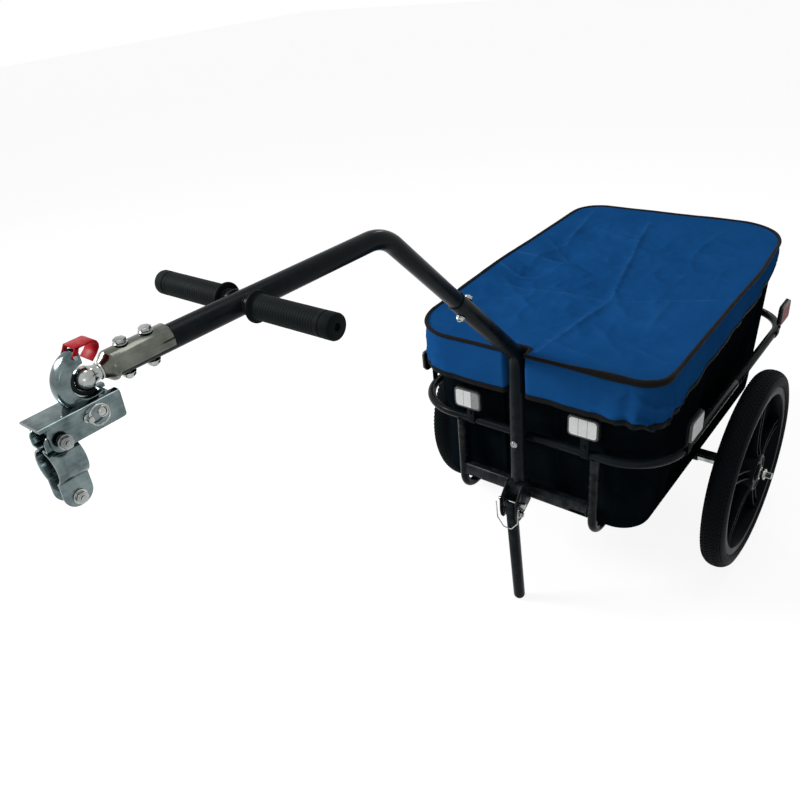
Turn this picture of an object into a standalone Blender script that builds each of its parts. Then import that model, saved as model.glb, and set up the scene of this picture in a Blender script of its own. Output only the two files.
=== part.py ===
"""Bike cargo trailer: a ribbed tub with a fabric cover in a tube frame, two wheels, a drawbar with its stand,
push handle and ball hitch, and reflectors.

Metres, +Z up, ground at z = 0. The hitch points to -Y, and x = 0 is the centre plane. Every size below is given
from the wheel axle, and one shift along Y then puts the middle of the whole trailer at y = 0.
"""

from math import atan, cos, pi, radians, sin, tan

import bmesh
import bpy
from mathutils import Matrix, Vector

# Gap left between two pieces that touch on the real trailer.
CLEAR = 0.0003

# Wheels, 16 inch.
WHEEL_R = 0.200
WHEEL_X = 0.298
TYRE_HALF = 0.0222
RIM_HALF = 0.0185
RIM_FLANGE_R = 0.170
BEAD_R = 0.160
WEB_INNER_X = -0.012
WEB_T = 0.004
HUB_DRUM_R = 0.0365
HUB_OUTER_X = 0.024
WHEEL_STEPS = 36
RIB_ANGLES = (60, 132, 204, 276, 348)
RIB_PAIR_HALF = 0.008
VALVE_HOLE_R = 0.0135
VALVE_HOLE_AT = 0.122
VALVE_HOLE_ANGLE = -68

# Axle.
AXLE_R = 0.006
AXLE_END_X = 0.345
SHOULDER_R = 0.009
BEAM_R = 0.011
BEAM_HALF = 0.205

# Tube frame.
TUBE_R = 0.008
TUBE_WALL = 0.0014
HOOP_Z = 0.376
HOOP_HALF = 0.251
HOOP_FRONT_Y = -0.336
HOOP_REAR_Y = 0.356
HOOP_CORNER = 0.097
HOOP_SPLIT_Y = 0.010
RAIL_X = 0.135
RAIL_Z = 0.203
RAIL_BEND = 0.035
CROSSBAR_H = 0.025
CROSSBAR_D = 0.016
CROSSBAR_Z = 0.2585

# Tub.
TUB_FLOOR_Z = RAIL_Z + TUBE_R + CLEAR
TUB_WALL = 0.003
TUB_RECESS = 0.005
TUB_TOP_Z = 0.550
FRONT_RIBS = (-0.055, 0.055)
SIDE_RIBS = (-0.2, -0.1, 0.0, 0.1, 0.2)

# Fabric cover.
COVER_HALF = 0.2414
COVER_FRONT_Y = -0.370
COVER_REAR_Y = 0.390
COVER_Z = 0.5555
COVER_CORNERS = (0.035, 0.085, 0.060, 0.085)
COVER_T = 0.003
COVER_SAG = 0.010
POST_DENT = 0.0275

# Drawbar.
LOWER_R = 0.014
UPPER_R = 0.0125
UPPER_WALL = 0.0016
POST_Y = HOOP_FRONT_Y - TUBE_R - LOWER_R - CLEAR
POST_FOOT_Z = 0.262
BEND1_Z = 0.546
SLOPE = radians(44.8)
SLOPE_LENGTH = 0.430
LOWER_REACH = 0.230
OVERLAP_FROM = 0.150
DRAWBAR_BOLT_AT = 0.2015
BAR_RISE = radians(0.8)
BAR_END_Y = -1.045
LOWER_BEND = 0.065
UPPER_BEND = 0.070

# Push handle.
HANDLE_Y = -0.890
HANDLE_R = 0.011
GRIP_R = 0.0135
GRIP_END_X = 0.130
GRIP_FLANGE_X = 0.022

# Stand.
PIVOT_Y = -0.3837
PIVOT_Z = 0.2336
LEG_R = 0.0111
LEG_TILT = atan(0.094)
LEG_TOP = 0.0284
LOCK_Y = -0.384
LOCK_Z = 0.255
LOCK_R = 0.0035
PLATE_T = 0.0025

# Hitch.
BALL_Y = -1.0724
BALL_R = 0.011
HOOK_SEAT_R = 0.0162
HOOK_R = 0.029
HOOK_HALF = 0.0075
CHANNEL_TOP_Z = 0.838
CHANNEL_HALF = 0.016
CHANNEL_T = 0.0025
CHANNEL_FRONT_Y = -1.131
CHANNEL_REAR_Y = -1.053
CHANNEL_LOW_Z = 0.812
CLAMP_BOLT_Y = -1.115
CLAMP_BOLT_Z = 0.820
CLAMP_LOW_Z = 0.759
CLAMP_BORE_Z = 0.794
CLAMP_R = 0.01735
CLAMP_T = 0.0027
CLAMP_WIDTH = 0.029
BOLT_R = 0.003
HOLE_R = 0.0033
LINCH_Y = -1.0885
LINCH_Z = 0.8275
LINCH_R = 0.0022
RIVET_Y = -1.0730
LEVER_Y = -1.0785
LEVER_Z = 0.8790

# Reflectors.
LENS_W = 0.055
LENS_H = 0.039
REFLECTOR_Z = 0.4265
FRONT_REFLECTOR_X = (0.1195, -0.1075)
REFLECTOR_LIFT = {"right": 0.010, "left": 0.0}
SIDE_REFLECTOR_Y = (-0.245, 0.250)

SHIFT_Y = -(CHANNEL_FRONT_Y + COVER_REAR_Y) / 2

for old in list(bpy.data.objects):
    bpy.data.objects.remove(old)


def bar_z(y):
    """Height of the drawbar's level run at y."""
    bend_y = POST_Y - SLOPE_LENGTH * cos(SLOPE)
    bend_z = BEND1_Z + SLOPE_LENGTH * sin(SLOPE)
    return bend_z + (bend_y - y) * tan(BAR_RISE)


BALL = Vector((0, BALL_Y, bar_z(-1.05)))


def material(name, colour, roughness, metallic=0.0):
    made = bpy.data.materials.new(name)
    made.use_nodes = True
    shader = made.node_tree.nodes["Principled BSDF"]
    shader.inputs["Base Color"].default_value = (*colour, 1)
    shader.inputs["Roughness"].default_value = roughness
    shader.inputs["Metallic"].default_value = metallic
    return made


BLACK_STEEL = material("black_powder_coat", (0.012, 0.012, 0.013), 0.45)
ZINC = material("zinc_steel", (0.62, 0.62, 0.60), 0.35, 1.0)
DARK_ZINC = material("dark_zinc_steel", (0.30, 0.30, 0.29), 0.45, 1.0)
BLACK_PLASTIC = material("black_plastic", (0.016, 0.016, 0.017), 0.55)
TUB_PLASTIC = material("tub_plastic", (0.020, 0.020, 0.021), 0.5)
WHEEL_PLASTIC = material("wheel_plastic", (0.03, 0.03, 0.031), 0.5)
RUBBER = material("rubber", (0.014, 0.014, 0.014), 0.8)
GRIP_RUBBER = material("grip_rubber", (0.018, 0.018, 0.018), 0.7)
FABRIC = material("cover_fabric", (0.012, 0.09, 0.27), 0.85)
CLEAR_LENS = material("white_reflector", (0.75, 0.75, 0.72), 0.15)
RED_LENS = material("red_reflector", (0.6, 0.02, 0.02), 0.15)
RED_STEEL = material("red_coat", (0.6, 0.03, 0.03), 0.4)


def finish(name, bm, look, pivot=(0, 0, 0)):
    """Makes the object, with its origin on pivot."""
    bmesh.ops.recalc_face_normals(bm, faces=bm.faces)
    bmesh.ops.translate(bm, verts=bm.verts, vec=-Vector(pivot))
    mesh = bpy.data.meshes.new(name)
    bm.to_mesh(mesh)
    bm.free()
    made = bpy.data.objects.new(name, mesh)
    made.location = pivot
    mesh.materials.append(look)
    bpy.context.scene.collection.objects.link(made)
    return made


def carve(target, cutter, operation="DIFFERENCE"):
    """Cuts the cutter away, or joins it on, and removes it."""
    modifier = target.modifiers.new("shape", "BOOLEAN")
    modifier.solver = "EXACT"
    modifier.operation = operation
    modifier.object = cutter
    bpy.context.view_layer.update()
    graph = bpy.context.evaluated_depsgraph_get()
    shaped = bpy.data.meshes.new_from_object(target.evaluated_get(graph))
    target.modifiers.clear()
    target.data = shaped
    bpy.data.objects.remove(cutter)
    return target


def on_axis(axis, along, u, v):
    """A point at `along` on the axis, u and v across it."""
    return {"X": (along, u, v), "Y": (u, along, v), "Z": (u, v, along)}[axis]


def prism(outline, axis, low, high):
    """An outline drawn across the axis, pushed out from low to high."""
    bm = bmesh.new()
    ends = [[bm.verts.new(on_axis(axis, t, u, v)) for u, v in outline] for t in (low, high)]
    bm.faces.new(ends[0])
    bm.faces.new(list(reversed(ends[1])))
    for i in range(len(outline)):
        j = (i + 1) % len(outline)
        bm.faces.new((ends[0][i], ends[0][j], ends[1][j], ends[1][i]))
    return bm


def box(low, high):
    outline = [(low[1], low[2]), (high[1], low[2]), (high[1], high[2]), (low[1], high[2])]
    return prism(outline, "X", low[0], high[0])


def lathe(profile, axis, steps, ring=False, start=0.0):
    """Turns rows of (radius, place on the axis), with "hex" as third entry for a row with flats.

    A ring profile joins its last row to its first, and any other runs from pole to pole.
    """
    bm = bmesh.new()
    rows = []
    for row in profile:
        radius, along = row[0], row[1]
        if radius == 0:
            rows.append([bm.verts.new(on_axis(axis, along, 0, 0))])
            continue
        points = []
        for k in range(steps):
            flat = cos(pi / 6) if len(row) > 2 and steps == 12 and k % 2 else 1.0
            angle = start + 2 * pi * k / steps
            u, v = radius * flat * cos(angle), radius * flat * sin(angle)
            points.append(bm.verts.new(on_axis(axis, along, u, v)))
        rows.append(points)
    for a, b in zip(rows, rows[1:] + rows[:1] if ring else rows[1:]):
        for k in range(steps):
            j = (k + 1) % steps
            if len(a) == 1:
                bm.faces.new((a[0], b[k], b[j]))
            elif len(b) == 1:
                bm.faces.new((a[k], b[0], a[j]))
            else:
                bm.faces.new((a[k], b[k], b[j], a[j]))
    return bm


def rounded(points, radius, steps):
    """A path whose inner corners are arcs."""
    points = [Vector(p) for p in points]
    path = [points[0]]
    for before, corner, after in zip(points, points[1:], points[2:]):
        back = (before - corner).normalized()
        on = (after - corner).normalized()
        half = back.angle(on) / 2
        centre = corner + (back + on).normalized() * radius / sin(half)
        first = corner + back * radius / tan(half) - centre
        last = corner + on * radius / tan(half) - centre
        turn = first.angle(last)
        for k in range(steps + 1):
            a, b = sin(turn * (1 - k / steps)), sin(turn * k / steps)
            path.append(centre + (first * a + last * b) / sin(turn))
    return path + [points[-1]]


def sweep(path, radii, sides, up, loop=False):
    """A rod, or with two radii a tube open at both ends, along a path."""
    bm = bmesh.new()
    up = Vector(up)
    count = len(path)
    stations = []
    for i, point in enumerate(path):
        along = Vector((0, 0, 0))
        if loop or i:
            along += (point - path[i - 1]).normalized()
        if loop or i < count - 1:
            along += (path[(i + 1) % count] - point).normalized()
        along.normalize()
        up = (up - up.dot(along) * along).normalized()
        side = along.cross(up)
        rings = []
        for radius in radii:
            angles = [2 * pi * (k + 0.5) / sides for k in range(sides)]
            ways = [cos(a) * up + sin(a) * side for a in angles]
            rings.append([bm.verts.new(point + radius * way) for way in ways])
        stations.append(rings)
    for i in range(count if loop else count - 1):
        here, there = stations[i], stations[(i + 1) % count]
        for ring_a, ring_b in zip(here, there):
            for k in range(sides):
                j = (k + 1) % sides
                bm.faces.new((ring_a[k], ring_a[j], ring_b[j], ring_b[k]))
    if not loop:
        for rings in (stations[0], stations[-1]):
            if len(radii) == 1:
                bm.faces.new(rings[0])
                continue
            for k in range(sides):
                j = (k + 1) % sides
                bm.faces.new((rings[0][k], rings[0][j], rings[1][j], rings[1][k]))
    return bm


def loft(levels, poles=(None, None)):
    """Closed outlines of equal count joined in order, closed by a cap or by a point at each end."""
    bm = bmesh.new()
    rings = [[bm.verts.new(p) for p in level] for level in levels]
    count = len(rings[0])
    for a, b in zip(rings, rings[1:]):
        for k in range(count):
            j = (k + 1) % count
            bm.faces.new((a[k], a[j], b[j], b[k]))
    for ring, pole in zip((rings[0], rings[-1]), poles):
        if pole is None:
            bm.faces.new(ring)
            continue
        tip = bm.verts.new(pole)
        for k in range(count):
            bm.faces.new((ring[k], ring[(k + 1) % count], tip))
    return bm


def strip(path, thickness):
    """Outline of a bent sheet whose middle line is the path, given in two dimensions."""
    points = [Vector((*p, 0)) for p in path]
    sides = ([], [])
    for i, point in enumerate(points):
        back = (point - points[i - 1]).normalized() if i else None
        on = (points[i + 1] - point).normalized() if i < len(points) - 1 else None
        along = ((back or on) + (on or back)).normalized()
        normal = Vector((-along.y, along.x, 0))
        stretch = 1 / max(0.5, normal.dot(Vector((-(on or back).y, (on or back).x, 0))))
        for side, sign in zip(sides, (1, -1)):
            side.append((point + normal * sign * thickness / 2 * stretch).to_2d())
    return [tuple(p) for p in sides[0] + sides[1][::-1]]


def soften(bm, along, where, width, steps=2):
    """Rounds the edges that run along one axis where the test holds at their middle."""
    picked = []
    for edge in bm.edges:
        run = (edge.verts[0].co - edge.verts[1].co).normalized()
        middle = (edge.verts[0].co + edge.verts[1].co) / 2
        if abs(run["XYZ".index(along)]) > 0.99 and where(middle):
            picked.append(edge)
    bmesh.ops.bevel(bm, geom=picked, offset=width, segments=steps, profile=0.5, affect="EDGES")
    return bm


def drill(target, axis, at, radius, low, high, sides=10):
    """Round hole through the target, `at` given across the axis."""
    hole = lathe([(0, low), (radius, low), (radius, high), (0, high)], axis, sides, start=pi / sides)
    bmesh.ops.translate(hole, verts=hole.verts, vec=Vector(on_axis(axis, 0, *at)))
    return carve(target, finish("cutter", hole, BLACK_STEEL))


def bolt(
    name, axis, at, nut_end, head_end,
    shank=BOLT_R, head=0.0062, head_h=0.005, nut_h=0.005, look=ZINC, sides=6,
):
    """A bolt with its nut: the grip runs from nut_end to head_end, whichever is higher."""
    way = 1 if head_end > nut_end else -1
    tail = nut_end - way * (nut_h + 0.002)
    rows = [(0, tail), (shank, tail), (shank, nut_end - way * nut_h), (head, nut_end - way * nut_h, "hex")]
    rows += [(head, nut_end, "hex"), (shank, nut_end), (shank, head_end), (head * 1.1, head_end)]
    rows += [(head * 1.1, head_end + way * 0.001), (head, head_end + way * 0.001, "hex")]
    rows += [(head, head_end + way * head_h, "hex"), (0, head_end + way * head_h)]
    bm = lathe(rows, axis, sides)
    bmesh.ops.translate(bm, verts=bm.verts, vec=Vector(on_axis(axis, 0, *at)))
    return finish(name, bm, look, on_axis(axis, 0, *at))


def mirrored(bm, sign):
    """The right-hand shape, or for sign -1 its mirror image on the left."""
    if sign < 0:
        bmesh.ops.scale(bm, vec=(-1, 1, 1), verts=bm.verts)
    return bm


# The tube frame: a level hoop in two halves, two rails under the tub, a front crossbar and the axle beam.
def hoop_half(name, end_y, corner_sign):
    split = HOOP_SPLIT_Y + corner_sign * CLEAR / 2
    corners = [(-HOOP_HALF, split), (-HOOP_HALF, end_y), (HOOP_HALF, end_y), (HOOP_HALF, split)]
    path = rounded([(x, y, HOOP_Z) for x, y in corners], HOOP_CORNER, 6)
    return finish(name, sweep(path, (TUBE_R, TUBE_R - TUBE_WALL), 12, (0, 0, 1)), BLACK_STEEL)


def hoop():
    front = hoop_half("hoop_front", HOOP_FRONT_Y, -1)
    drill(front, "Y", (0, HOOP_Z - 0.001), HOLE_R, HOOP_FRONT_Y - 0.012, HOOP_FRONT_Y)
    hoop_half("hoop_rear", HOOP_REAR_Y, 1)
    plug_r = TUBE_R - TUBE_WALL - CLEAR
    for side, sign in (("right", 1), ("left", -1)):
        ends = [Vector((sign * HOOP_HALF, HOOP_SPLIT_Y + dy, HOOP_Z)) for dy in (-0.03, 0.03)]
        finish(f"hoop_plug_{side}", sweep(ends, (plug_r, plug_r - TUBE_WALL), 12, (0, 0, 1)), BLACK_STEEL)


def rails():
    top = HOOP_Z - TUBE_R - CLEAR
    for side, sign in (("right", 1), ("left", -1)):
        x = sign * RAIL_X
        turns = [(HOOP_FRONT_Y, top), (HOOP_FRONT_Y, RAIL_Z), (HOOP_REAR_Y, RAIL_Z), (HOOP_REAR_Y, top)]
        path = rounded([(x, y, z) for y, z in turns], RAIL_BEND, 4)
        finish(f"rail_{side}", sweep(path, (TUBE_R, TUBE_R - TUBE_WALL), 12, (1, 0, 0)), BLACK_STEEL)


def crossbar():
    """Square tube between the front legs of the rails, open at both ends."""
    half = RAIL_X - TUBE_R - CLEAR
    y, z = HOOP_FRONT_Y, CROSSBAR_Z
    low = (-half, y - CROSSBAR_D / 2, z - CROSSBAR_H / 2)
    high = (half, y + CROSSBAR_D / 2, z + CROSSBAR_H / 2)
    bar = soften(box(low, high), "X", lambda m: True, 0.002, 1)
    bar = finish("front_crossbar", bar, BLACK_STEEL)
    wall = 0.0018
    inner = box((low[0] - 0.01, low[1] + wall, low[2] + wall), (high[0] + 0.01, high[1] - wall, high[2] - wall))
    carve(bar, finish("cutter", inner, BLACK_STEEL))
    slot = box((0.093, low[1] - 0.005, low[2] - 0.001), (0.125, y, low[2] + 0.007))
    carve(bar, finish("cutter", slot, BLACK_STEEL))


def axle():
    ends = [Vector((x, 0, WHEEL_R)) for x in (-BEAM_HALF, BEAM_HALF)]
    beam = finish("axle_beam", sweep(ends, (BEAM_R, AXLE_R + CLEAR), 16, (0, 0, 1)), BLACK_STEEL)
    rail_low = RAIL_Z - TUBE_R - CLEAR
    gap = TUBE_R + CLEAR
    for sign in (1, -1):
        near, far = sorted((sign * (RAIL_X - gap), sign * (RAIL_X + gap)))
        notch = box((near, -0.02, WHEEL_R - 0.02), (far, 0.02, WHEEL_R + 0.02))
        carve(beam, finish("notch", notch, BLACK_STEEL))
        near, far = sorted((sign * (RAIL_X - 0.022), sign * (RAIL_X + 0.022)))
        sole = box((near, -0.014, rail_low - 0.009), (far, 0.014, rail_low))
        carve(beam, finish("sole", sole, BLACK_STEEL), "UNION")
        near, far = sorted((sign * 0.180, sign * 0.262))
        plate = box((near, -0.011, SHOULDER_R + WHEEL_R + CLEAR), (far, 0.011, TUB_FLOOR_Z - CLEAR))
        carve(beam, finish("plate", plate, BLACK_STEEL), "UNION")
    inner_x = WHEEL_X - HUB_OUTER_X - CLEAR
    nut_x = WHEEL_X + HUB_OUTER_X + CLEAR
    for side, sign in (("right", 1), ("left", -1)):
        shoulder = BEAM_HALF + CLEAR
        rows = [(0, 0.158), (AXLE_R, 0.158), (AXLE_R, shoulder), (SHOULDER_R, shoulder), (SHOULDER_R, inner_x)]
        rows += [(AXLE_R, inner_x), (AXLE_R, AXLE_END_X - 0.001), (0.005, AXLE_END_X), (0, AXLE_END_X)]
        stub = lathe(rows, "X", 16)
        bmesh.ops.translate(stub, verts=stub.verts, vec=(0, 0, WHEEL_R))
        finish(f"axle_{side}", mirrored(stub, sign), ZINC)
        hole = AXLE_R + CLEAR
        rows = [(hole, nut_x), (0.0125, nut_x), (0.0125, nut_x + 0.002), (0.0110, nut_x + 0.002, "hex")]
        rows += [(0.0110, nut_x + 0.012, "hex"), (hole, nut_x + 0.012)]
        nut = lathe(rows, "X", 12, ring=True)
        bmesh.ops.translate(nut, verts=nut.verts, vec=(0, 0, WHEEL_R))
        finish(f"axle_nut_{side}", mirrored(nut, sign), ZINC)


# The wheels: a tyre on a rim with a closed web, stiffened by five pairs of ribs.
def wheels():
    for side, sign in (("right", 1), ("left", -1)):
        centre = (sign * WHEEL_X, 0, WHEEL_R)
        outer = [(0.1608, 0.0147), (0.1703, 0.0147), (0.1712, 0.0195), (0.1790, TYRE_HALF), (0.1895, 0.0188)]
        outer += [(0.1970, 0.0112), (WHEEL_R, 0.0035)]
        inner = [(0.1970, 0.0040), (0.1850, 0.0178), (0.1608, 0.0118)]
        section = outer + [(r, -x) for r, x in reversed(outer)]
        section += [(r, -x) for r, x in reversed(inner)] + inner
        tyre = lathe(section, "X", WHEEL_STEPS, ring=True, start=-pi / 2)
        bmesh.ops.translate(tyre, verts=tyre.verts, vec=centre)
        finish(f"tyre_{side}", tyre, RUBBER, centre)

        web_out = WEB_INNER_X + WEB_T
        flange, bead = RIM_FLANGE_R, BEAD_R
        rows = [(AXLE_R + CLEAR, -HUB_OUTER_X), (0.016, -HUB_OUTER_X), (0.016, WEB_INNER_X)]
        rows += [(0.152, WEB_INNER_X)]
        rows += [(0.1555, -RIM_HALF), (flange, -RIM_HALF), (flange, -0.0150), (bead, -0.0150)]
        rows += [(bead, 0.0150), (flange, 0.0150), (flange, RIM_HALF), (0.1560, RIM_HALF), (0.1545, web_out)]
        rows += [(HUB_DRUM_R, web_out), (HUB_DRUM_R, HUB_OUTER_X - 0.003), (HUB_DRUM_R - 0.003, HUB_OUTER_X)]
        rows += [(AXLE_R + CLEAR, HUB_OUTER_X)]
        turned = lathe(rows, "X", WHEEL_STEPS, ring=True, start=-pi / 2)
        wheel = finish(f"wheel_{side}", turned, WHEEL_PLASTIC)
        ribs = bmesh.new()
        for angle in RIB_ANGLES:
            for offset in (-RIB_PAIR_HALF, RIB_PAIR_HALF):
                rib = box((web_out - 0.002, 0.0345, offset - 0.0014), (0.011, 0.1575, offset + 0.0014))
                turned = Matrix.Rotation(-radians(angle) + pi, 4, "X")
                bmesh.ops.transform(rib, matrix=turned, verts=rib.verts)
                scratch = bpy.data.meshes.new("rib")
                rib.to_mesh(scratch)
                rib.free()
                ribs.from_mesh(scratch)
                bpy.data.meshes.remove(scratch)
        carve(wheel, finish("ribs", ribs, WHEEL_PLASTIC), "UNION")
        spot = radians(VALVE_HOLE_ANGLE)
        drill(wheel, "X", (-VALVE_HOLE_AT * cos(spot), VALVE_HOLE_AT * sin(spot)), VALVE_HOLE_R, -0.03, 0.0, 12)
        if sign < 0:
            wheel.data.transform(Matrix.Scale(-1, 4, (1, 0, 0)))
            wheel.data.flip_normals()
        wheel.location = centre


# The tub: a ribbed tray that stands on the rails, with a plain band under its rim.
def arc(cx, cy, radius, start, steps):
    """A quarter circle, from the start angle in degrees."""
    angles = [radians(start + 90 * k / steps) for k in range(steps + 1)]
    return [(cx + radius * cos(a), cy + radius * sin(a)) for a in angles]


def bump(position, near, depth):
    """Points across one rib: recessed, proud, proud, recessed."""
    low, high = position - near, position + near
    return [(low - 0.004, depth), (low, 0), (high, 0), (high + 0.004, depth)]


def panel(ends, ribs, depth, extra=()):
    """(place, recess) along one side of the tub, from one column to the next."""
    low, high = ends
    rows = [(low, 0), (low + 0.006, depth)]
    for rib in ribs:
        rows += bump(rib, 0.004, depth)
    rows += [(high - 0.006, depth), (high, 0)] + [(place, depth) for place in extra]
    return sorted(rows)


def dent(x):
    """How far the post presses the front edge back."""
    return POST_DENT * min(1, max(0, (0.050 - abs(x)) / 0.032))


def tub_level(z, half, front, rear, corner, depth, dented=False):
    across = panel((-0.142, 0.142), FRONT_RIBS, depth, (-0.018, 0.018))
    along = panel((-0.242, 0.254), SIDE_RIBS, depth)
    points = [(x, front + d + (dent(x) if dented else 0)) for x, d in across]
    points += arc(half - corner, front + corner, corner, -90, 4)
    points += [(half - d, y) for y, d in along]
    points += arc(half - corner, rear - corner, corner, 0, 4)
    points += [(x, rear - d) for x, d in reversed(across)]
    points += arc(-half + corner, rear - corner, corner, 90, 4)
    points += [(-half + d, y) for y, d in reversed(along)]
    points += arc(-half + corner, front + corner, corner, 180, 4)
    return [(x, y, z) for x, y in points]


def plain_level(z, half, front, rear, corner):
    points = arc(half - corner, front + corner, corner, -90, 4)
    points += arc(half - corner, rear - corner, corner, 0, 4)
    points += arc(-half + corner, rear - corner, corner, 90, 4)
    points += arc(-half + corner, front + corner, corner, 180, 4)
    return [(x, y, z) for x, y in points]


def tub():
    floor = TUB_FLOOR_Z

    def at(z, inset=0.0):
        share = (z - floor) / (0.547 - floor)
        sizes = 0.2075 + 0.0285 * share, -0.3115 - 0.0215 * share, 0.3235 + 0.0265 * share, 0.055 + 0.016 * share
        return sizes[0] - inset, sizes[1] + inset, sizes[2] - inset, sizes[3] - inset

    shapes = [(floor + up, *at(floor + up, inset)) for up, inset in ((0, 0.010), (0.003, 0.003), (0.010, 0))]
    levels = [tub_level(z, *rest, 0) for z, *rest in shapes]
    for z, depth in ((0.234, 0), (0.241, TUB_RECESS), (0.528, TUB_RECESS), (0.535, 0), (0.547, 0)):
        levels.append(tub_level(z, *at(z), depth))
    for z in (0.547, TUB_TOP_Z):
        levels.append(tub_level(z, 0.2375, -0.3635, 0.3855, 0.083, 0, dented=True))
    body = finish("tub", loft(levels), TUB_PLASTIC)
    inset = TUB_RECESS + TUB_WALL + 0.0005
    inner = []
    for z, half, front, rear, corner in shapes:
        lift = TUB_WALL if z < floor + 0.005 else 0
        inner.append(plain_level(z + lift, half - inset, front + inset, rear - inset, corner - inset))
    for z in (0.535, 0.560):
        half, front, rear, corner = at(min(z, 0.547))
        inner.append(plain_level(z, half - inset, front + inset, rear - inset, corner - inset))
    carve(body, finish("cutter", loft(inner), TUB_PLASTIC))


# The fabric cover: a shallow cap whose skirt hangs past the rim, pressed in where the post stands.
def cover_ring(z, inset, scale=1.0, flare=0.0):
    """Outline of the cover, pulled in and scaled towards its middle. z may be a function of x and y."""
    half, front, rear = COVER_HALF - inset, COVER_FRONT_Y + inset, COVER_REAR_Y - inset
    front_right, rear_right, rear_left, front_left = [corner - inset for corner in COVER_CORNERS]
    points = []
    for x in (-0.15, -0.05, -0.018, 0.018, 0.05, 0.15):
        wave = flare if abs(x) > 0.1 else 0
        points.append((x, front + dent(x) - wave))
    points += arc(half - front_right, front + front_right, front_right, -90, 6)
    points += [(half + (flare if k % 2 else 0), y) for k, y in enumerate((-0.22, -0.11, 0.0, 0.11, 0.22))]
    points += arc(half - rear_right, rear - rear_right, rear_right, 0, 6)
    points += [(x, rear + (flare if x else 0)) for x in (0.12, 0.0, -0.12)]
    points += arc(-half + rear_left, rear - rear_left, rear_left, 90, 6)
    points += [(-half - (flare if k % 2 else 0), y) for k, y in enumerate((0.22, 0.11, 0.0, -0.11, -0.22))]
    points += arc(-half + front_left, front + front_left, front_left, 180, 6)
    middle = (COVER_FRONT_Y + COVER_REAR_Y) / 2
    placed = [(x * scale, middle + (y - middle) * scale) for x, y in points]
    return [(x, y, z(x, y) if callable(z) else z) for x, y in placed]


def cover():
    def hem(x, y):
        return 0.473 + 0.032 * max(0.0, min(1.0, (y + 0.30) / 0.62))

    def halfway(x, y):
        return (hem(x, y) + COVER_Z) / 2

    def top(drop, scale):
        def height(x, y):
            ridge = 0.004 * max(0, 1 - abs(x) / 0.05) + 0.003 * max(0, 1 - abs(y - 0.03) / 0.06)
            sag = COVER_SAG * max(0, 1 - (scale / 0.84) ** 2) + 0.002 * min(1, (1 - scale) / 0.16)
            return COVER_Z - drop - sag + ridge * (scale < 0.8)
        return height

    middle = (0, (COVER_FRONT_Y + COVER_REAR_Y) / 2)
    scales = (0.20, 0.42, 0.64, 0.84, 0.95)
    rings = [cover_ring(top(0, s), 0, s) for s in scales]
    rings += [cover_ring(COVER_Z, 0.001), cover_ring(COVER_Z - 0.003, 0)]
    rings += [cover_ring(halfway, 0, flare=0.001), cover_ring(hem, 0, flare=0.003)]
    rings += [cover_ring(hem, COVER_T, flare=0.003), cover_ring(halfway, COVER_T, flare=0.001)]
    rings += [cover_ring(COVER_Z - COVER_T, COVER_T)]
    rings += [cover_ring(top(COVER_T, s), 0, s) for s in reversed(scales)]
    tips = [(*middle, top(drop, 0)(*middle)) for drop in (0, COVER_T)]
    finish("cover", loft(rings, tips), FABRIC, (0, 0, COVER_Z))


# The drawbar: a post with a sloping upper end, and a second tube that slides into it and runs level to the hitch.
def drawbar():
    slope = Vector((0, -cos(SLOPE), sin(SLOPE)))
    across = Vector((0, sin(SLOPE), cos(SLOPE)))
    bend1 = Vector((0, POST_Y, BEND1_Z))
    bend2 = bend1 + SLOPE_LENGTH * slope
    path = rounded([(0, POST_Y, POST_FOOT_Z), bend1, bend1 + LOWER_REACH * slope], LOWER_BEND, 5)
    lower = finish("drawbar_lower", sweep(path, (LOWER_R, UPPER_R + CLEAR), 16, (1, 0, 0)), BLACK_STEEL)
    drill(lower, "Y", (0, HOOP_Z - 0.001), HOLE_R, POST_Y - 0.03, POST_Y + 0.03)

    end = Vector((0, BAR_END_Y, bar_z(BAR_END_Y)))
    path = rounded([bend1 + OVERLAP_FROM * slope, bend2, end], UPPER_BEND, 5)
    upper = finish("drawbar_upper", sweep(path, (UPPER_R, UPPER_R - UPPER_WALL), 16, (1, 0, 0)), BLACK_STEEL)

    at = bend1 + DRAWBAR_BOLT_AT * slope
    turn = Vector((0, 0, 1)).rotation_difference(across).to_matrix().to_4x4()
    place = Matrix.Translation(at) @ turn
    for tube in (lower, upper):
        hole = lathe([(0, -0.03), (HOLE_R, -0.03), (HOLE_R, 0.03), (0, 0.03)], "Z", 10)
        bmesh.ops.transform(hole, matrix=place, verts=hole.verts)
        carve(tube, finish("cutter", hole, BLACK_STEEL))
    grip = LOWER_R + CLEAR
    made = bolt("drawbar_bolt", "Z", (0, 0), -grip, grip, look=DARK_ZINC)
    made.data.transform(turn)
    made.location = at
    bolt_y = POST_Y - LOWER_R - CLEAR
    rows = [(0, HOOP_FRONT_Y), (BOLT_R, HOOP_FRONT_Y), (BOLT_R, bolt_y), (0.0062, bolt_y)]
    rows += [(0.0055, bolt_y - 0.003), (0, bolt_y - 0.0045)]
    screw = lathe(rows, "Y", 12)
    bmesh.ops.translate(screw, verts=screw.verts, vec=(0, 0, HOOP_Z - 0.001))
    finish("post_bolt", screw, DARK_ZINC)


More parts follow.
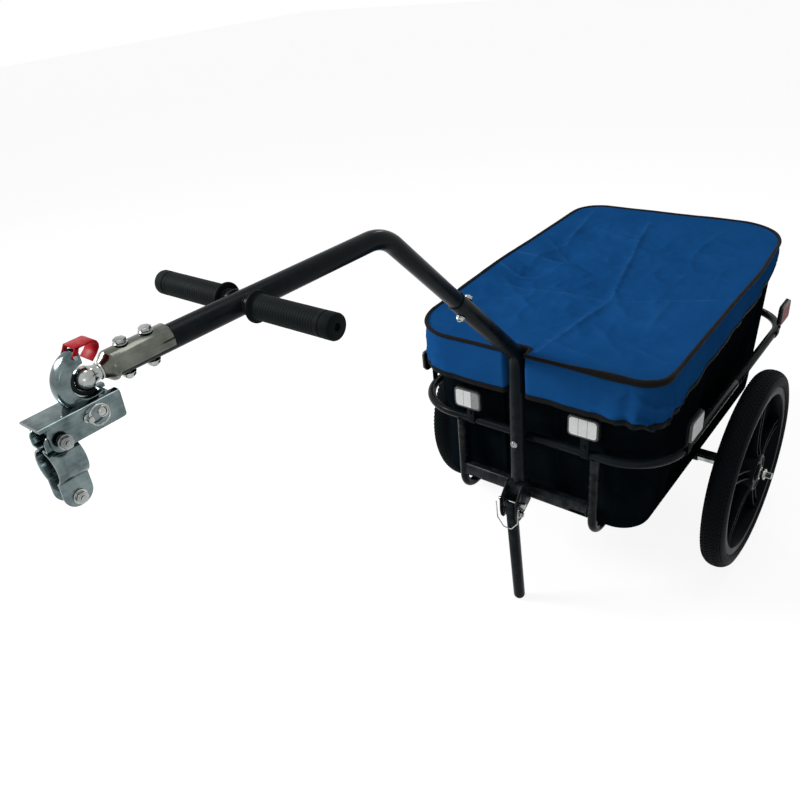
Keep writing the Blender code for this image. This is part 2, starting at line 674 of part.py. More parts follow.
def handle():
    z = bar_z(HANDLE_Y)
    for side, sign in (("right", 1), ("left", -1)):
        path = [Vector((x, HANDLE_Y, z)) for x in (0.006, GRIP_END_X - 0.003)]
        tube = mirrored(sweep(path, (HANDLE_R, HANDLE_R - 0.0015), 16, (0, 0, 1)), sign)
        stub = finish(f"handle_{side}", tube, BLACK_STEEL)
        low, high, cope_r = HANDLE_Y - 0.02, HANDLE_Y + 0.02, UPPER_R + CLEAR
        cope = lathe([(0, low), (cope_r, low), (cope_r, high), (0, high)], "Y", 24)
        bmesh.ops.translate(cope, verts=cope.verts, vec=(0, 0, z))
        carve(stub, finish("cutter", cope, BLACK_STEEL))
        inner = HANDLE_R + CLEAR
        rows = [(inner, GRIP_FLANGE_X), (0.017, GRIP_FLANGE_X), (0.017, GRIP_FLANGE_X + 0.003)]
        rows += [(GRIP_R, GRIP_FLANGE_X + 0.0045), (GRIP_R, GRIP_END_X - 0.002), (GRIP_R - 0.002, GRIP_END_X)]
        rows += [(0.004, GRIP_END_X), (0.004, GRIP_END_X - 0.0025), (inner, GRIP_END_X - 0.0025)]
        grip = lathe(rows, "X", 16, ring=True)
        bmesh.ops.translate(grip, verts=grip.verts, vec=(0, HANDLE_Y, z))
        finish(f"grip_{side}", mirrored(grip, sign), GRIP_RUBBER)


# The stand: a bracket under the post, a leg that folds forwards, and its lock pin with a wire bail.
def stand():
    inner_x = LOWER_R + CLEAR
    rear = HOOP_FRONT_Y - CROSSBAR_D / 2 - CLEAR
    tip = PIVOT_Y - 0.0148
    side = [(rear, 0.290), (POST_Y - LOWER_R - 0.0035, 0.290), (tip, 0.264), (tip, PIVOT_Z + 0.004)]
    low_z = PIVOT_Z - 0.0145
    side += [(tip + 0.003, PIVOT_Z - 0.008), (PIVOT_Y - 0.006, low_z), (PIVOT_Y + 0.005, low_z)]
    side += [(-0.3700, 0.228), (rear, 0.243)]
    bracket = finish("stand_bracket", prism(side, "X", inner_x, inner_x + PLATE_T), BLACK_STEEL)
    other = finish("plate", prism(side, "X", -inner_x - PLATE_T, -inner_x), BLACK_STEEL)
    web_y = POST_Y - LOWER_R - CLEAR
    web = box((-inner_x - 0.001, web_y - PLATE_T, 0.268), (inner_x + 0.001, web_y, 0.2895))
    carve(bracket, finish("web", web, BLACK_STEEL), "UNION")
    carve(bracket, other, "UNION")
    drill(bracket, "X", (PIVOT_Y, PIVOT_Z), 0.0043, -0.03, 0.03, 12)
    drill(bracket, "X", (LOCK_Y, LOCK_Z), LOCK_R + CLEAR, -0.03, 0.03, 12)

    pivot = (0, PIVOT_Y, PIVOT_Z)
    reach = (PIVOT_Z - LEG_R) / cos(LEG_TILT)
    wall = 0.0019
    rows = [(0, -reach - LEG_R), (0.0055, -reach - 0.0097), (0.0096, -reach - 0.0056), (LEG_R, -reach)]
    rows += [(LEG_R, LEG_TOP), (LEG_R - wall, LEG_TOP), (LEG_R - wall, -reach)]
    rows += [(0.0050, -reach - 0.0070), (0, -reach - 0.0085)]
    leg = finish("stand_leg", lathe(rows, "Z", 16), BLACK_STEEL)
    drill(leg, "X", (0, 0), 0.0043, -0.03, 0.03, 12)
    notch = box((-0.02, -LOCK_R - 0.0012, 0.0110), (0.02, 0.02, 0.05))
    carve(leg, finish("cutter", notch, BLACK_STEEL))
    leg.data.transform(Matrix.Rotation(LEG_TILT, 4, "X"))
    leg.location = pivot
    edge = inner_x + PLATE_T + CLEAR
    at = (PIVOT_Y, PIVOT_Z)
    bolt("stand_pivot_bolt", "X", at, edge, -edge, shank=0.004, head=0.0068, look=DARK_ZINC, sides=12)

    lock = (LOCK_Y, LOCK_Z)
    rows = [(0, -0.0275), (LOCK_R * 0.6, -0.0275), (LOCK_R, -0.0255), (LOCK_R, edge + 0.0004)]
    rows += [(0.0055, edge + 0.0004), (0.0055, 0.0275), (0, 0.0275)]
    pin = lathe(rows, "X", 12)
    bmesh.ops.translate(pin, verts=pin.verts, vec=(0, *lock))
    pin = finish("lock_pin", pin, DARK_ZINC, (0, *lock))
    drill(pin, "Y", (0.0225, LOCK_Z), 0.0017, LOCK_Y - 0.01, LOCK_Y + 0.01, 8)
    front_y = tip - 0.0022
    turns = [(0.0225, LOCK_Y + 0.009, LOCK_Z), (0.0225, front_y, LOCK_Z)]
    turns += [(0.0215, front_y, 0.225), (0.008, front_y, 0.2065)]
    turns += [(-0.008, front_y, 0.2065), (-0.0225, front_y, 0.225), (-0.0295, front_y, LOCK_Z + 0.001)]
    wire = sweep(rounded(turns, 0.005, 2), (0.0012,), 6, (0.3, 0.2, 1))
    finish("lock_bail", wire, ZINC, (0.0225, LOCK_Y, LOCK_Z))


# The hitch: a saddle with a ball on the drawbar, a hook round the ball, and the seat post clamp under it.
def saddle():
    z = BALL.z
    inner, outer = 0.0133, 0.0148
    turn = [(cos(pi * k / 8), sin(pi * k / 8)) for k in range(9)]
    arch = [(inner, -0.004)] + [(inner * u, inner * v) for u, v in turn] + [(-inner, -0.004)]
    arch += [(-outer, -0.004)] + [(outer * u, outer * v) for u, v in reversed(turn)] + [(outer, -0.004)]
    body = prism([(x, z + up) for x, up in arch], "Y", -1.0475, -0.985)
    body = finish("saddle", body, ZINC)
    rows = [(0.0052, -1.0565), (0.0078, -1.0565), (outer, -1.0480), (outer, -1.0455), (0.0052, -1.0455)]
    cone = lathe(rows, "Y", 16, ring=True)
    bmesh.ops.translate(cone, verts=cone.verts, vec=(0, 0, z))
    carve(body, finish("cone", cone, ZINC), "UNION")
    for name, y in (("saddle_bolt_front", -1.031), ("saddle_bolt_rear", -1.004)):
        drill(body, "Z", (0, y), HOLE_R, z, z + 0.03)
        drill(bpy.data.objects["drawbar_upper"], "Z", (0, y), HOLE_R, z - 0.03, z + 0.03)
        bolt(name, "Z", (0, y), bar_z(y) - UPPER_R - CLEAR, z + outer + CLEAR, nut_h=0.0045)

    rows = [(0, -1.036), (0.0048, -1.036), (0.0048, -1.0568), (0.0080, -1.0568)]
    rows += [(0.0080, -1.0590), (0.0055, -1.0590), (0.0055, BALL_Y + 0.0096)]
    angles = [radians(a) for a in (50, 70, 90, 110, 130, 150, 165)]
    rows += [(BALL_R * sin(a), BALL_Y + BALL_R * cos(a)) for a in angles]
    rows += [(0, BALL_Y - BALL_R)]
    ball = lathe(rows, "Y", 16)
    bmesh.ops.translate(ball, verts=ball.verts, vec=(0, 0, z))
    finish("ball_stud", ball, ZINC, BALL)


def swing(section, start, end, steps):
    """A closed section of (radius, x) swung round the ball's centre, angles from +Y towards +Z."""
    bm = bmesh.new()
    rows = []
    for k in range(steps + 1):
        a = radians(start + (end - start) * k / steps)
        rows.append([bm.verts.new((x, BALL.y + r * cos(a), BALL.z + r * sin(a))) for r, x in section])
    count = len(section)
    for a, b in zip(rows, rows[1:]):
        for k in range(count):
            j = (k + 1) % count
            bm.faces.new((a[k], a[j], b[j], b[k]))
    bm.faces.new(rows[0])
    bm.faces.new(list(reversed(rows[-1])))
    return bm


def hook():
    seat, half = HOOK_SEAT_R, HOOK_HALF
    section = [(seat, -half), (0.0250, -half), (HOOK_R, -half + 0.0035)]
    section += [(HOOK_R, half - 0.0035), (0.0250, half), (seat, half)]
    body = finish("hook", swing(section, 92, 304, 16), DARK_ZINC, BALL)
    low, high = CHANNEL_TOP_Z - 0.018, CHANNEL_TOP_Z - CHANNEL_T - CLEAR
    wide = CHANNEL_HALF - CHANNEL_T - CLEAR
    foot = box((-wide, -1.0985, low), (wide, -1.0560, high))
    carve(body, finish("foot", foot, DARK_ZINC), "UNION")
    drill(body, "X", (RIVET_Y, 0.8265), HOLE_R, -0.03, 0.03)
    drill(body, "X", (LINCH_Y, LINCH_Z), LINCH_R + CLEAR, -0.03, 0.03)
    drill(body, "X", (LEVER_Y, LEVER_Z), 0.0023, -0.03, 0.03)

    near, far = BALL_R + CLEAR, seat - CLEAR
    pad = [(near, -0.0045), (far, -0.0045), (far, 0.0045), (near, 0.0045)]
    finish("hook_liner", swing(pad, 130, 300, 12), BLACK_PLASTIC, BALL)


def channel():
    half, top, t = CHANNEL_HALF, CHANNEL_TOP_Z, CHANNEL_T
    inner = half - t
    outline = [(-half, CHANNEL_LOW_Z), (-half, top - 0.002), (-half + 0.002, top), (half - 0.002, top)]
    outline += [(half, top - 0.002), (half, CHANNEL_LOW_Z), (inner, CHANNEL_LOW_Z), (inner, top - t)]
    outline += [(-inner, top - t), (-inner, CHANNEL_LOW_Z)]
    body = finish("hitch_channel", prism(outline, "Y", CHANNEL_FRONT_Y, CHANNEL_REAR_Y), DARK_ZINC)
    ear = 0.0105
    nose = box((-0.03, CHANNEL_FRONT_Y - 0.01, 0.80), (0.03, CLAMP_BOLT_Y - ear, top - t))
    carve(body, finish("cutter", nose, BLACK_STEEL))
    wide = HOOK_HALF + CLEAR
    slot = box((-wide, -1.0968, top - 0.01), (wide, CHANNEL_REAR_Y + 0.01, top + 0.01))
    carve(body, finish("cutter", slot, BLACK_STEEL))
    drill(body, "X", (CLAMP_BOLT_Y, CLAMP_BOLT_Z), HOLE_R, -0.03, 0.03)
    drill(body, "X", (LINCH_Y, LINCH_Z), LINCH_R + CLEAR, -0.03, 0.03)
    drill(body, "X", (RIVET_Y, 0.8265), HOLE_R, -0.03, 0.03)
    edge = half + CLEAR
    rows = [(0, -edge - 0.002), (0.0048, -edge - 0.0005), (0.0055, -edge), (BOLT_R, -edge), (BOLT_R, edge)]
    rows += [(0.0055, edge), (0.0048, edge + 0.0005), (0, edge + 0.002)]
    rivet = lathe(rows, "X", 12)
    bmesh.ops.translate(rivet, verts=rivet.verts, vec=(0, RIVET_Y, 0.8265))
    finish("hitch_rivet", rivet, ZINC)

    rows = [(0, -0.0215), (0.0012, -0.0215), (LINCH_R, -0.0200), (LINCH_R, edge + 0.0003)]
    rows += [(0.0040, edge + 0.0003), (0.0040, 0.0175), (0.0028, 0.0175), (0.0028, 0.0235), (0, 0.0235)]
    pin = lathe(rows, "X", 12)
    bmesh.ops.translate(pin, verts=pin.verts, vec=(0, LINCH_Y, LINCH_Z))
    pin = finish("linch_pin", pin, ZINC, (0, LINCH_Y, LINCH_Z))
    drill(pin, "Z", (0.0201, LINCH_Y), 0.0016, LINCH_Z - 0.01, LINCH_Z + 0.01, 8)
    reach, x = 0.0095, 0.0201
    angles = [2 * pi * k / 16 for k in range(16)]
    loop = [Vector((x, LINCH_Y + reach * (1 - cos(a)), LINCH_Z + reach * sin(a))) for a in angles]
    finish("linch_ring", sweep(loop, (0.0009,), 6, (1, 0, 0), loop=True), ZINC, (x, LINCH_Y, LINCH_Z))


def lever():
    t = 0.0016
    pivot = (0, LEVER_Y, LEVER_Z)
    path = [(-1.0795, 0.8862), (-1.0600, 0.8862), (-1.0555, 0.8838), (-1.0535, 0.8790)]
    path += [(-1.0548, 0.8735), (-1.0590, 0.8690), (-1.0645, 0.8655)]
    body = finish("safety_lever", prism(strip(path, t), "X", -0.0105, 0.0105), RED_STEEL, pivot)
    near = HOOK_HALF + CLEAR
    ear = [(LEVER_Y - 0.001, 0.8865), (LEVER_Y - 0.004, LEVER_Z), (LEVER_Y, LEVER_Z - 0.004)]
    ear += [(LEVER_Y + 0.004, LEVER_Z - 0.001), (LEVER_Y + 0.014, 0.8865)]
    for sign in (1, -1):
        low, high = sorted((sign * near, sign * (near + t)))
        carve(body, finish("ear", prism(ear, "X", low, high), RED_STEEL), "UNION")
    drill(body, "X", (LEVER_Y, LEVER_Z), 0.0023, -0.03, 0.03)
    edge = near + t + CLEAR
    rows = [(0, -edge - 0.0014), (0.0034, -edge - 0.0014), (0.0034, -edge), (0.002, -edge), (0.002, edge)]
    rows += [(0.0034, edge), (0.0034, edge + 0.0014), (0, edge + 0.0014)]
    pin = lathe(rows, "X", 10)
    bmesh.ops.translate(pin, verts=pin.verts, vec=(0, LEVER_Y, LEVER_Z))
    finish("lever_pivot", pin, ZINC)


def clamp():
    low, high = CLAMP_BOLT_Y - CLAMP_WIDTH / 2, CLAMP_BOLT_Y + CLAMP_WIDTH / 2
    pivot = (0, CLAMP_BOLT_Y, CLAMP_BOLT_Z)
    near, flange = 0.0029, 0.0085
    for side, sign in (("right", 1), ("left", -1)):
        path = [(near, CLAMP_BOLT_Z + 0.0075)]
        angles = [radians(a) for a in (80, 60, 38, 16, -6, -28, -48, -62)]
        path += [(CLAMP_R * cos(a), CLAMP_BORE_Z + CLAMP_R * sin(a)) for a in angles]
        path += [(flange, 0.7745), (flange, 0.7500)]
        shape = prism(strip(path, CLAMP_T), "Y", low, high)
        soften(shape, "X", lambda m: m.z > CLAMP_BOLT_Z + 0.006, 0.0065)
        soften(shape, "X", lambda m: m.z < 0.7505, 0.008)
        half = finish(f"clamp_half_{side}", mirrored(shape, sign), DARK_ZINC, pivot)
        drill(half, "X", (CLAMP_BOLT_Y, CLAMP_BOLT_Z), HOLE_R, -0.03, 0.03)
        drill(half, "X", (CLAMP_BOLT_Y, CLAMP_LOW_Z), HOLE_R, -0.03, 0.03)
    edge = CHANNEL_HALF + CLEAR
    bolt("clamp_bolt_upper", "X", (CLAMP_BOLT_Y, CLAMP_BOLT_Z), -edge, edge)
    edge = flange + CLAMP_T / 2 + CLEAR
    bolt("clamp_bolt_lower", "X", (CLAMP_BOLT_Y, CLAMP_LOW_Z), -edge, edge)


# The reflectors, each on a plastic strap round the hoop.
def reflector(name, look, place, lift=0.0):
    """A reflector facing -Y on a tube along X through the origin; `place` carries it to its tube."""
    mid = REFLECTOR_Z - HOOP_Z + lift
    reach = TUBE_R + CLEAR + 0.0008
    path = [(-reach, mid - 0.008), (-reach, 0.0)]
    path += [(reach * cos(radians(a)), reach * sin(radians(a))) for a in (195, 220, 245)]
    stalk = prism(strip(path, 0.0016), "X", -0.0075, 0.0075)
    half_w, half_h = LENS_W / 2 + 0.0015, LENS_H / 2 + 0.0015
    back = box((-half_w, -reach - 0.0040, mid - half_h), (half_w, -reach - 0.0002, mid + half_h))
    soften(back, "Y", lambda m: True, 0.008)
    front = -reach - 0.0040 - CLEAR
    lens = box((-LENS_W / 2, front - 0.005, mid - LENS_H / 2), (LENS_W / 2, front, mid + LENS_H / 2))
    soften(lens, "Y", lambda m: True, 0.007)
    for shape in (stalk, back, lens):
        bmesh.ops.transform(shape, matrix=place, verts=shape.verts)
    bracket = finish(f"{name}_bracket", stalk, BLACK_PLASTIC)
    carve(bracket, finish("back", back, BLACK_PLASTIC), "UNION")
    finish(f"{name}_lens", lens, look)


def reflectors():
    for side, sign in (("right", 1), ("left", -1)):
        place = Matrix.Translation((FRONT_REFLECTOR_X[sign < 0], HOOP_FRONT_Y, HOOP_Z))
        reflector(f"front_reflector_{side}", CLEAR_LENS, place, REFLECTOR_LIFT[side])
        for end, look, y in zip(("side", "rear"), (CLEAR_LENS, RED_LENS), SIDE_REFLECTOR_Y):
            place = Matrix.Translation((sign * HOOP_HALF, y, HOOP_Z)) @ Matrix.Rotation(sign * pi / 2, 4, "Z")
            reflector(f"{end}_reflector_{side}", look, place)


hoop()
rails()
crossbar()
axle()
wheels()
tub()
cover()
drawbar()
handle()
stand()
saddle()
hook()
channel()
lever()
clamp()
reflectors()

trailer = bpy.data.objects.new("trailer", None)
trailer.location.y = SHIFT_Y
bpy.context.scene.collection.objects.link(trailer)
for piece in bpy.data.objects:
    if piece.type == "MESH":
        piece.parent = trailer
        piece.data.shade_smooth()
        piece.data.set_sharp_from_angle(angle=radians(35))
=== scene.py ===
from math import atan, atan2, cos, exp, hypot, pi, radians, sin, tan

import bmesh
import bpy
from mathutils import Matrix, Vector, noise


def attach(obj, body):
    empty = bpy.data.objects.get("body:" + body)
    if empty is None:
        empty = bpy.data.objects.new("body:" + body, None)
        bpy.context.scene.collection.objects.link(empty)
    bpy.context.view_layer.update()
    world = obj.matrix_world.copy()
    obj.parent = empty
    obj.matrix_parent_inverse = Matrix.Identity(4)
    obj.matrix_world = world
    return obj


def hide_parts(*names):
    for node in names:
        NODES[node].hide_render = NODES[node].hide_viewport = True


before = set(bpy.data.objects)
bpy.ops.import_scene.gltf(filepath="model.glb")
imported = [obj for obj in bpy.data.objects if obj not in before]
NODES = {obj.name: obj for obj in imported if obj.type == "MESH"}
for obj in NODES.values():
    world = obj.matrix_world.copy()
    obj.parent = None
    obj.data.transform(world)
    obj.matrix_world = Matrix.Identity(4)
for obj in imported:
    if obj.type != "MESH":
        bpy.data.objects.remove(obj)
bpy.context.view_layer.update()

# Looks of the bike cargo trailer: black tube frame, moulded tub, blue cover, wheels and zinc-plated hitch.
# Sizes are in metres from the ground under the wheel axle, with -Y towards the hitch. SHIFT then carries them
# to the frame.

SHIFT = 0.3705
AXES = {"X": Vector((1, 0, 0)), "Y": Vector((0, 1, 0)), "Z": Vector((0, 0, 1))}
ZERO = (0, 0, 0)


# Node wiring.

def wire(tree, kind, links=None, **settings):
    """A node with its settings, and its inputs either linked or set."""
    made = tree.nodes.new(kind)
    for name, value in settings.items():
        setattr(made, name, value)
    for name, value in (links or {}).items():
        socket = made.inputs[name]
        if isinstance(value, bpy.types.NodeSocket):
            tree.links.new(value, socket)
        else:
            socket.default_value = value
    return made


def maths(tree, operation, a, b=0.0, clamp=False):
    return wire(tree, "ShaderNodeMath", {0: a, 1: b}, operation=operation, use_clamp=clamp).outputs[0]


def mixed(tree, factor, a, b):
    """Colour a turned to b by the factor; each is a socket or three numbers."""
    a, b = (value if isinstance(value, bpy.types.NodeSocket) else (*value, 1) for value in (a, b))
    return wire(tree, "ShaderNodeMix", {0: factor, 6: a, 7: b}, data_type="RGBA").outputs[2]


def ramp(tree, value, low, high, first=0.0, last=1.0):
    """The value stretched so that low gives the first result and high the last."""
    return wire(tree, "ShaderNodeMapRange", {0: value, 1: low, 2: high, 3: first, 4: last}).outputs[0]


def share_of(tree, value, amount):
    return maths(tree, "MULTIPLY", value, amount)


def effect(name, inputs, outputs):
    """A node group with float inputs and outputs, and its ends."""
    tree = bpy.data.node_groups.new(name, "ShaderNodeTree")
    for label, value in inputs:
        socket = tree.interface.new_socket(label, in_out="INPUT", socket_type="NodeSocketFloat")
        socket.default_value = value
    for label in outputs:
        tree.interface.new_socket(label, in_out="OUTPUT", socket_type="NodeSocketFloat")
    return tree, tree.nodes.new("NodeGroupInput"), tree.nodes.new("NodeGroupOutput")


def textured(tree, scale, detail, roughness=0.55, vector=None):
    """Noise on the vector, or on Object coordinates where none is given."""
    if vector is None:
        vector = tree.nodes.new("ShaderNodeTexCoord").outputs["Object"]
    links = {"Vector": vector, "Scale": scale, "Detail": detail, "Roughness": roughness}
    return wire(tree, "ShaderNodeTexNoise", links).outputs["Fac"]


def make_grain():
    """Pebbled surface of moulded plastic or powder coat."""
    tree, start, end = effect("pebble_grain", [("Scale", 900.0)], ["Height", "Tone"])
    tree.links.new(textured(tree, start.outputs["Scale"], 2.0), end.inputs["Height"])
    tree.links.new(textured(tree, 14.0, 4.0), end.inputs["Tone"])
    return tree


def make_wear():
    """Mask of the edges that rub bare, broken up by a noise."""
    tree, start, end = effect("rubbed_edges", [("Amount", 0.5), ("Scale", 60.0)], ["Mask"])
    pointed = tree.nodes.new("ShaderNodeNewGeometry").outputs["Pointiness"]
    edge = ramp(tree, pointed, 0.515, 0.60)
    patches = ramp(tree, textured(tree, start.outputs["Scale"], 5.0, 0.65), 0.42, 0.66)
    worn = maths(tree, "MULTIPLY", share_of(tree, edge, patches), start.outputs["Amount"], True)
    tree.links.new(worn, end.inputs["Mask"])
    return tree


def make_dust():
    """Mask of the dust that settles on what faces up."""
    tree, start, end = effect("settled_dust", [("Amount", 0.3)], ["Mask"])
    normal = tree.nodes.new("ShaderNodeNewGeometry").outputs["Normal"]
    facing = wire(tree, "ShaderNodeSeparateXYZ", {0: normal}).outputs["Z"]
    upward = ramp(tree, facing, 0.2, 1.0)
    patches = ramp(tree, textured(tree, 9.0, 6.0, 0.7), 0.35, 0.75)
    mask = maths(tree, "MULTIPLY", share_of(tree, upward, patches), start.outputs["Amount"], True)
    tree.links.new(mask, end.inputs["Mask"])
    return tree


def make_plating():
    """Clouds, drawn streaks and fine pits of zinc plate."""
    tree, start, end = effect("zinc_plate", [("Streak", 1.0)], ["Cloud", "Streaks", "Height"])
    place = tree.nodes.new("ShaderNodeTexCoord").outputs["Object"]
    stretched = wire(tree, "ShaderNodeMapping", {"Vector": place, "Scale": (500.0, 40.0, 500.0)}).outputs[0]
    streaks = textured(tree, start.outputs["Streak"], 3.0, 0.6, stretched)
    tree.links.new(textured(tree, 55.0, 5.0, 0.6), end.inputs["Cloud"])
    tree.links.new(streaks, end.inputs["Streaks"])
    pits = textured(tree, 1400.0, 2.0)
    height = maths(tree, "ADD", share_of(tree, streaks, 0.6), share_of(tree, pits, 0.4))
    tree.links.new(height, end.inputs["Height"])
    return tree


def make_weave():
    """Plain weave, warp over weft, from the cloth's own UV map in metres."""
    tree, start, end = effect("plain_weave", [("Pitch", 1500.0)], ["Height", "Threads"])
    place = wire(tree, "ShaderNodeUVMap", uv_map="cloth").outputs[0]
    apart = wire(tree, "ShaderNodeSeparateXYZ", {0: place})
    waves = []
    for axis in ("X", "Y"):
        angle = share_of(tree, apart.outputs[axis], start.outputs["Pitch"])
        waves.append(maths(tree, "SINE", angle))
    over = share_of(tree, *waves)
    tree.links.new(maths(tree, "MULTIPLY_ADD", over, 0.5), end.inputs["Height"])
    thread = wire(tree, "ShaderNodeMapping", {"Vector": place, "Scale": (30.0, 900.0, 1.0)}).outputs[0]
    tree.links.new(textured(tree, 1.0, 2.0, 0.5, thread), end.inputs["Threads"])
    return tree


GRAIN, WEAR, DUST, PLATING, WEAVE = make_grain(), make_wear(), make_dust(), make_plating(), make_weave()


def use(tree, group, **values):
    made = wire(tree, "ShaderNodeGroup", node_tree=group)
    for name, value in values.items():
        made.inputs[name].default_value = value
    return made.outputs


def surface(name, **sockets):
    """A material, its tree and its shader, with the shader's constants set."""
    made = bpy.data.materials.new(name)
    made.use_nodes = True
    tree = made.node_tree
    shader = tree.nodes["Principled BSDF"]
    for label, value in sockets.items():
        shader.inputs[label.replace("_", " ")].default_value = value
    return made, tree, shader


def bump(tree, shader, height, strength, distance):
    links = {"Height": height, "Strength": strength, "Distance": distance}
    tree.links.new(wire(tree, "ShaderNodeBump", links).outputs[0], shader.inputs["Normal"])


def coated(name, colour, rough, grain, depth, wear, dust, bare, gloss):
    """Paint, powder coat, plastic or rubber: grain, a changing gloss, rubbed edges and a little dust."""
    made, tree, shader = surface(name, Specular_IOR_Level=gloss)
    pebble = use(tree, GRAIN, Scale=grain)
    worn = use(tree, WEAR, Amount=wear)["Mask"]
    dusty = use(tree, DUST, Amount=dust)["Mask"]
    light = tuple(min(1, c * 1.35 + 0.002) for c in colour)
    tone = mixed(tree, ramp(tree, pebble["Tone"], 0.35, 0.65), colour, light)
    tone = mixed(tree, worn, tone, bare)
    tree.links.new(mixed(tree, dusty, tone, (0.30, 0.29, 0.27)), shader.inputs["Base Color"])
    patchy = ramp(tree, pebble["Tone"], 0.3, 0.7, *rough)
    tree.links.new(maths(tree, "ADD", patchy, share_of(tree, dusty, 0.35), True), shader.inputs["Roughness"])
    bump(tree, shader, pebble["Height"], 0.5, depth)
    return made


def plated(name, dark, pale, rough):
    """Zinc plate: clouds over faint streaks left by rolling and pressing."""
    made, tree, shader = surface(name, Metallic=1.0)
    plate = use(tree, PLATING)
    tone = mixed(tree, ramp(tree, plate["Cloud"], 0.35, 0.68), dark, pale)
    streaked = share_of(tree, ramp(tree, plate["Streaks"], 0.45, 0.7), 0.05)
    tree.links.new(mixed(tree, streaked, tone, (0.6, 0.62, 0.6)), shader.inputs["Base Color"])
    tree.links.new(ramp(tree, plate["Cloud"], 0.3, 0.7, *rough), shader.inputs["Roughness"])
    bump(tree, shader, plate["Height"], 0.14, 0.00006)
    return made


def cloth_look():
    """Blue coated cloth: weave, rubbed patches, creases gone pale and small crumples. The pale creases are partly
    rubbed cloth and partly a painted sheen where light catches the fold ridges.
    """
    made, tree, shader = surface("blue_coated_cloth", Specular_IOR_Level=0.0)
    weave = use(tree, WEAVE)
    broad = ramp(tree, textured(tree, 7.0, 4.0, 0.6), 0.3, 0.7)
    tone = mixed(tree, broad, (0.0082, 0.074, 0.245), (0.0116, 0.094, 0.295))
    rubbed = ramp(tree, textured(tree, 26.0, 7.0, 0.72), 0.56, 0.80)
    tone = mixed(tree, share_of(tree, rubbed, 0.14), tone, (0.020, 0.12, 0.34))
    tone = mixed(tree, share_of(tree, weave["Threads"], 0.14), tone, (0.004, 0.045, 0.17))
    worn = use(tree, WEAR, Amount=0.22, Scale=35.0)["Mask"]
    tone = mixed(tree, worn, tone, (0.045, 0.16, 0.40))
    # Pale lines along the raised folds: partly rubbed cloth, partly painted sheen where light would catch the
    # ridges.
    crease_wear_and_sheen_mask = wire(tree, "ShaderNodeAttribute", attribute_name="crease_wear_and_painted_sheen").outputs["Fac"]
    tone = mixed(tree, share_of(tree, crease_wear_and_sheen_mask, 0.34), tone, (0.045, 0.17, 0.40))
    tree.links.new(tone, shader.inputs["Base Color"])
    tree.links.new(ramp(tree, broad, 0.0, 1.0, 0.50, 0.62), shader.inputs["Roughness"])
    crumple = textured(tree, 42.0, 6.0, 0.62)
    height = maths(tree, "ADD", share_of(tree, crumple, 7.0), weave["Height"])
    bump(tree, shader, height, 0.7, 0.00022)
    return made


def tape_look():
    made, tree, shader = surface("black_binding_tape", Specular_IOR_Level=0.06)
    weave = use(tree, WEAVE, Pitch=2200.0)
    tone = mixed(tree, weave["Threads"], (0.0045, 0.0045, 0.0050), (0.012, 0.012, 0.013))
    tree.links.new(tone, shader.inputs["Base Color"])
    tree.links.new(ramp(tree, weave["Threads"], 0.3, 0.7, 0.62, 0.8), shader.inputs["Roughness"])
    bump(tree, shader, weave["Height"], 0.6, 0.0002)
    return made


def lens_look(name, colour, deep, rough=0.12):
    """Prismatic lens: bright cells with darker joints under a glossy face."""
    made, tree, shader = surface(name, Coat_Weight=0.25, Coat_Roughness=0.06, Specular_IOR_Level=0.2)
    place = tree.nodes.new("ShaderNodeTexCoord").outputs["Object"]
    cells = wire(tree, "ShaderNodeTexVoronoi", {"Vector": place, "Scale": 620.0}, feature="F1")
    shade = ramp(tree, textured(tree, 120.0, 4.0, 0.7), 0.35, 0.68)
    tone = mixed(tree, ramp(tree, cells.outputs["Distance"], 0.1, 0.75), colour, deep)
    tree.links.new(mixed(tree, share_of(tree, shade, 0.45), tone, deep), shader.inputs["Base Color"])
    tree.links.new(ramp(tree, shade, 0.0, 1.0, rough, rough + 0.2), shader.inputs["Roughness"])
    bump(tree, shader, cells.outputs["Distance"], 0.5, 0.0003)
    return made


BARE_STEEL, BARE_PAINT = (0.30, 0.30, 0.29), (0.50, 0.50, 0.48)
BARE_PLASTIC, BARE_RUBBER = (0.05, 0.05, 0.05), (0.03, 0.03, 0.03)

# Each coating: colour, roughness from and to, grain and its depth, wear, dust, the colour under it, gloss.
BLACK_COAT = coated("satin_black_powder_coat", (0.0036, 0.0066, 0.0088), (0.20, 0.32),
                    700.0, 0.00006, 0.14, 0.008, BARE_STEEL, 0.06)
TUB_BLACK = coated("moulded_tub_plastic", (0.0022, 0.0046, 0.0060), (0.30, 0.46),
                   1100.0, 0.00008, 0.08, 0.006, BARE_RUBBER, 0.0)
TRIM_BLACK = coated("black_strap_plastic", (0.0020, 0.0042, 0.0055), (0.34, 0.48),
                    1200.0, 0.00008, 0.12, 0.008, BARE_PLASTIC, 0.04)
WHEEL_BLACK = coated("moulded_wheel_plastic", (0.0014, 0.0032, 0.0044), (0.30, 0.44),
                     1000.0, 0.00008, 0.12, 0.006, BARE_PLASTIC, 0.03)
TYRE_BLACK = coated("tyre_rubber", (0.0024, 0.0042, 0.0052), (0.55, 0.72),
                    800.0, 0.00014, 0.10, 0.010, BARE_RUBBER, 0.04)
GRIP_BLACK = coated("grip_rubber_skin", (0.0052, 0.0082, 0.0082), (0.55, 0.70),
                    1500.0, 0.00014, 0.10, 0.010, BARE_RUBBER, 0.04)
RED_PAINT = coated("red_lever_paint", (0.50, 0.008, 0.018), (0.22, 0.34),
                   500.0, 0.00008, 0.20, 0.0, BARE_PAINT, 0.04)
CUP_BLACK = coated("ball_cup_plastic", (0.0020, 0.0040, 0.0055), (0.30, 0.42),
                   1200.0, 0.00006, 0.10, 0.010, BARE_PLASTIC, 0.12)
LENS_RIM = coated("lens_rim_plastic", (0.060, 0.064, 0.064), (0.20, 0.30),
                  900.0, 0.00005, 0.0, 0.0, BARE_STEEL, 0.3)
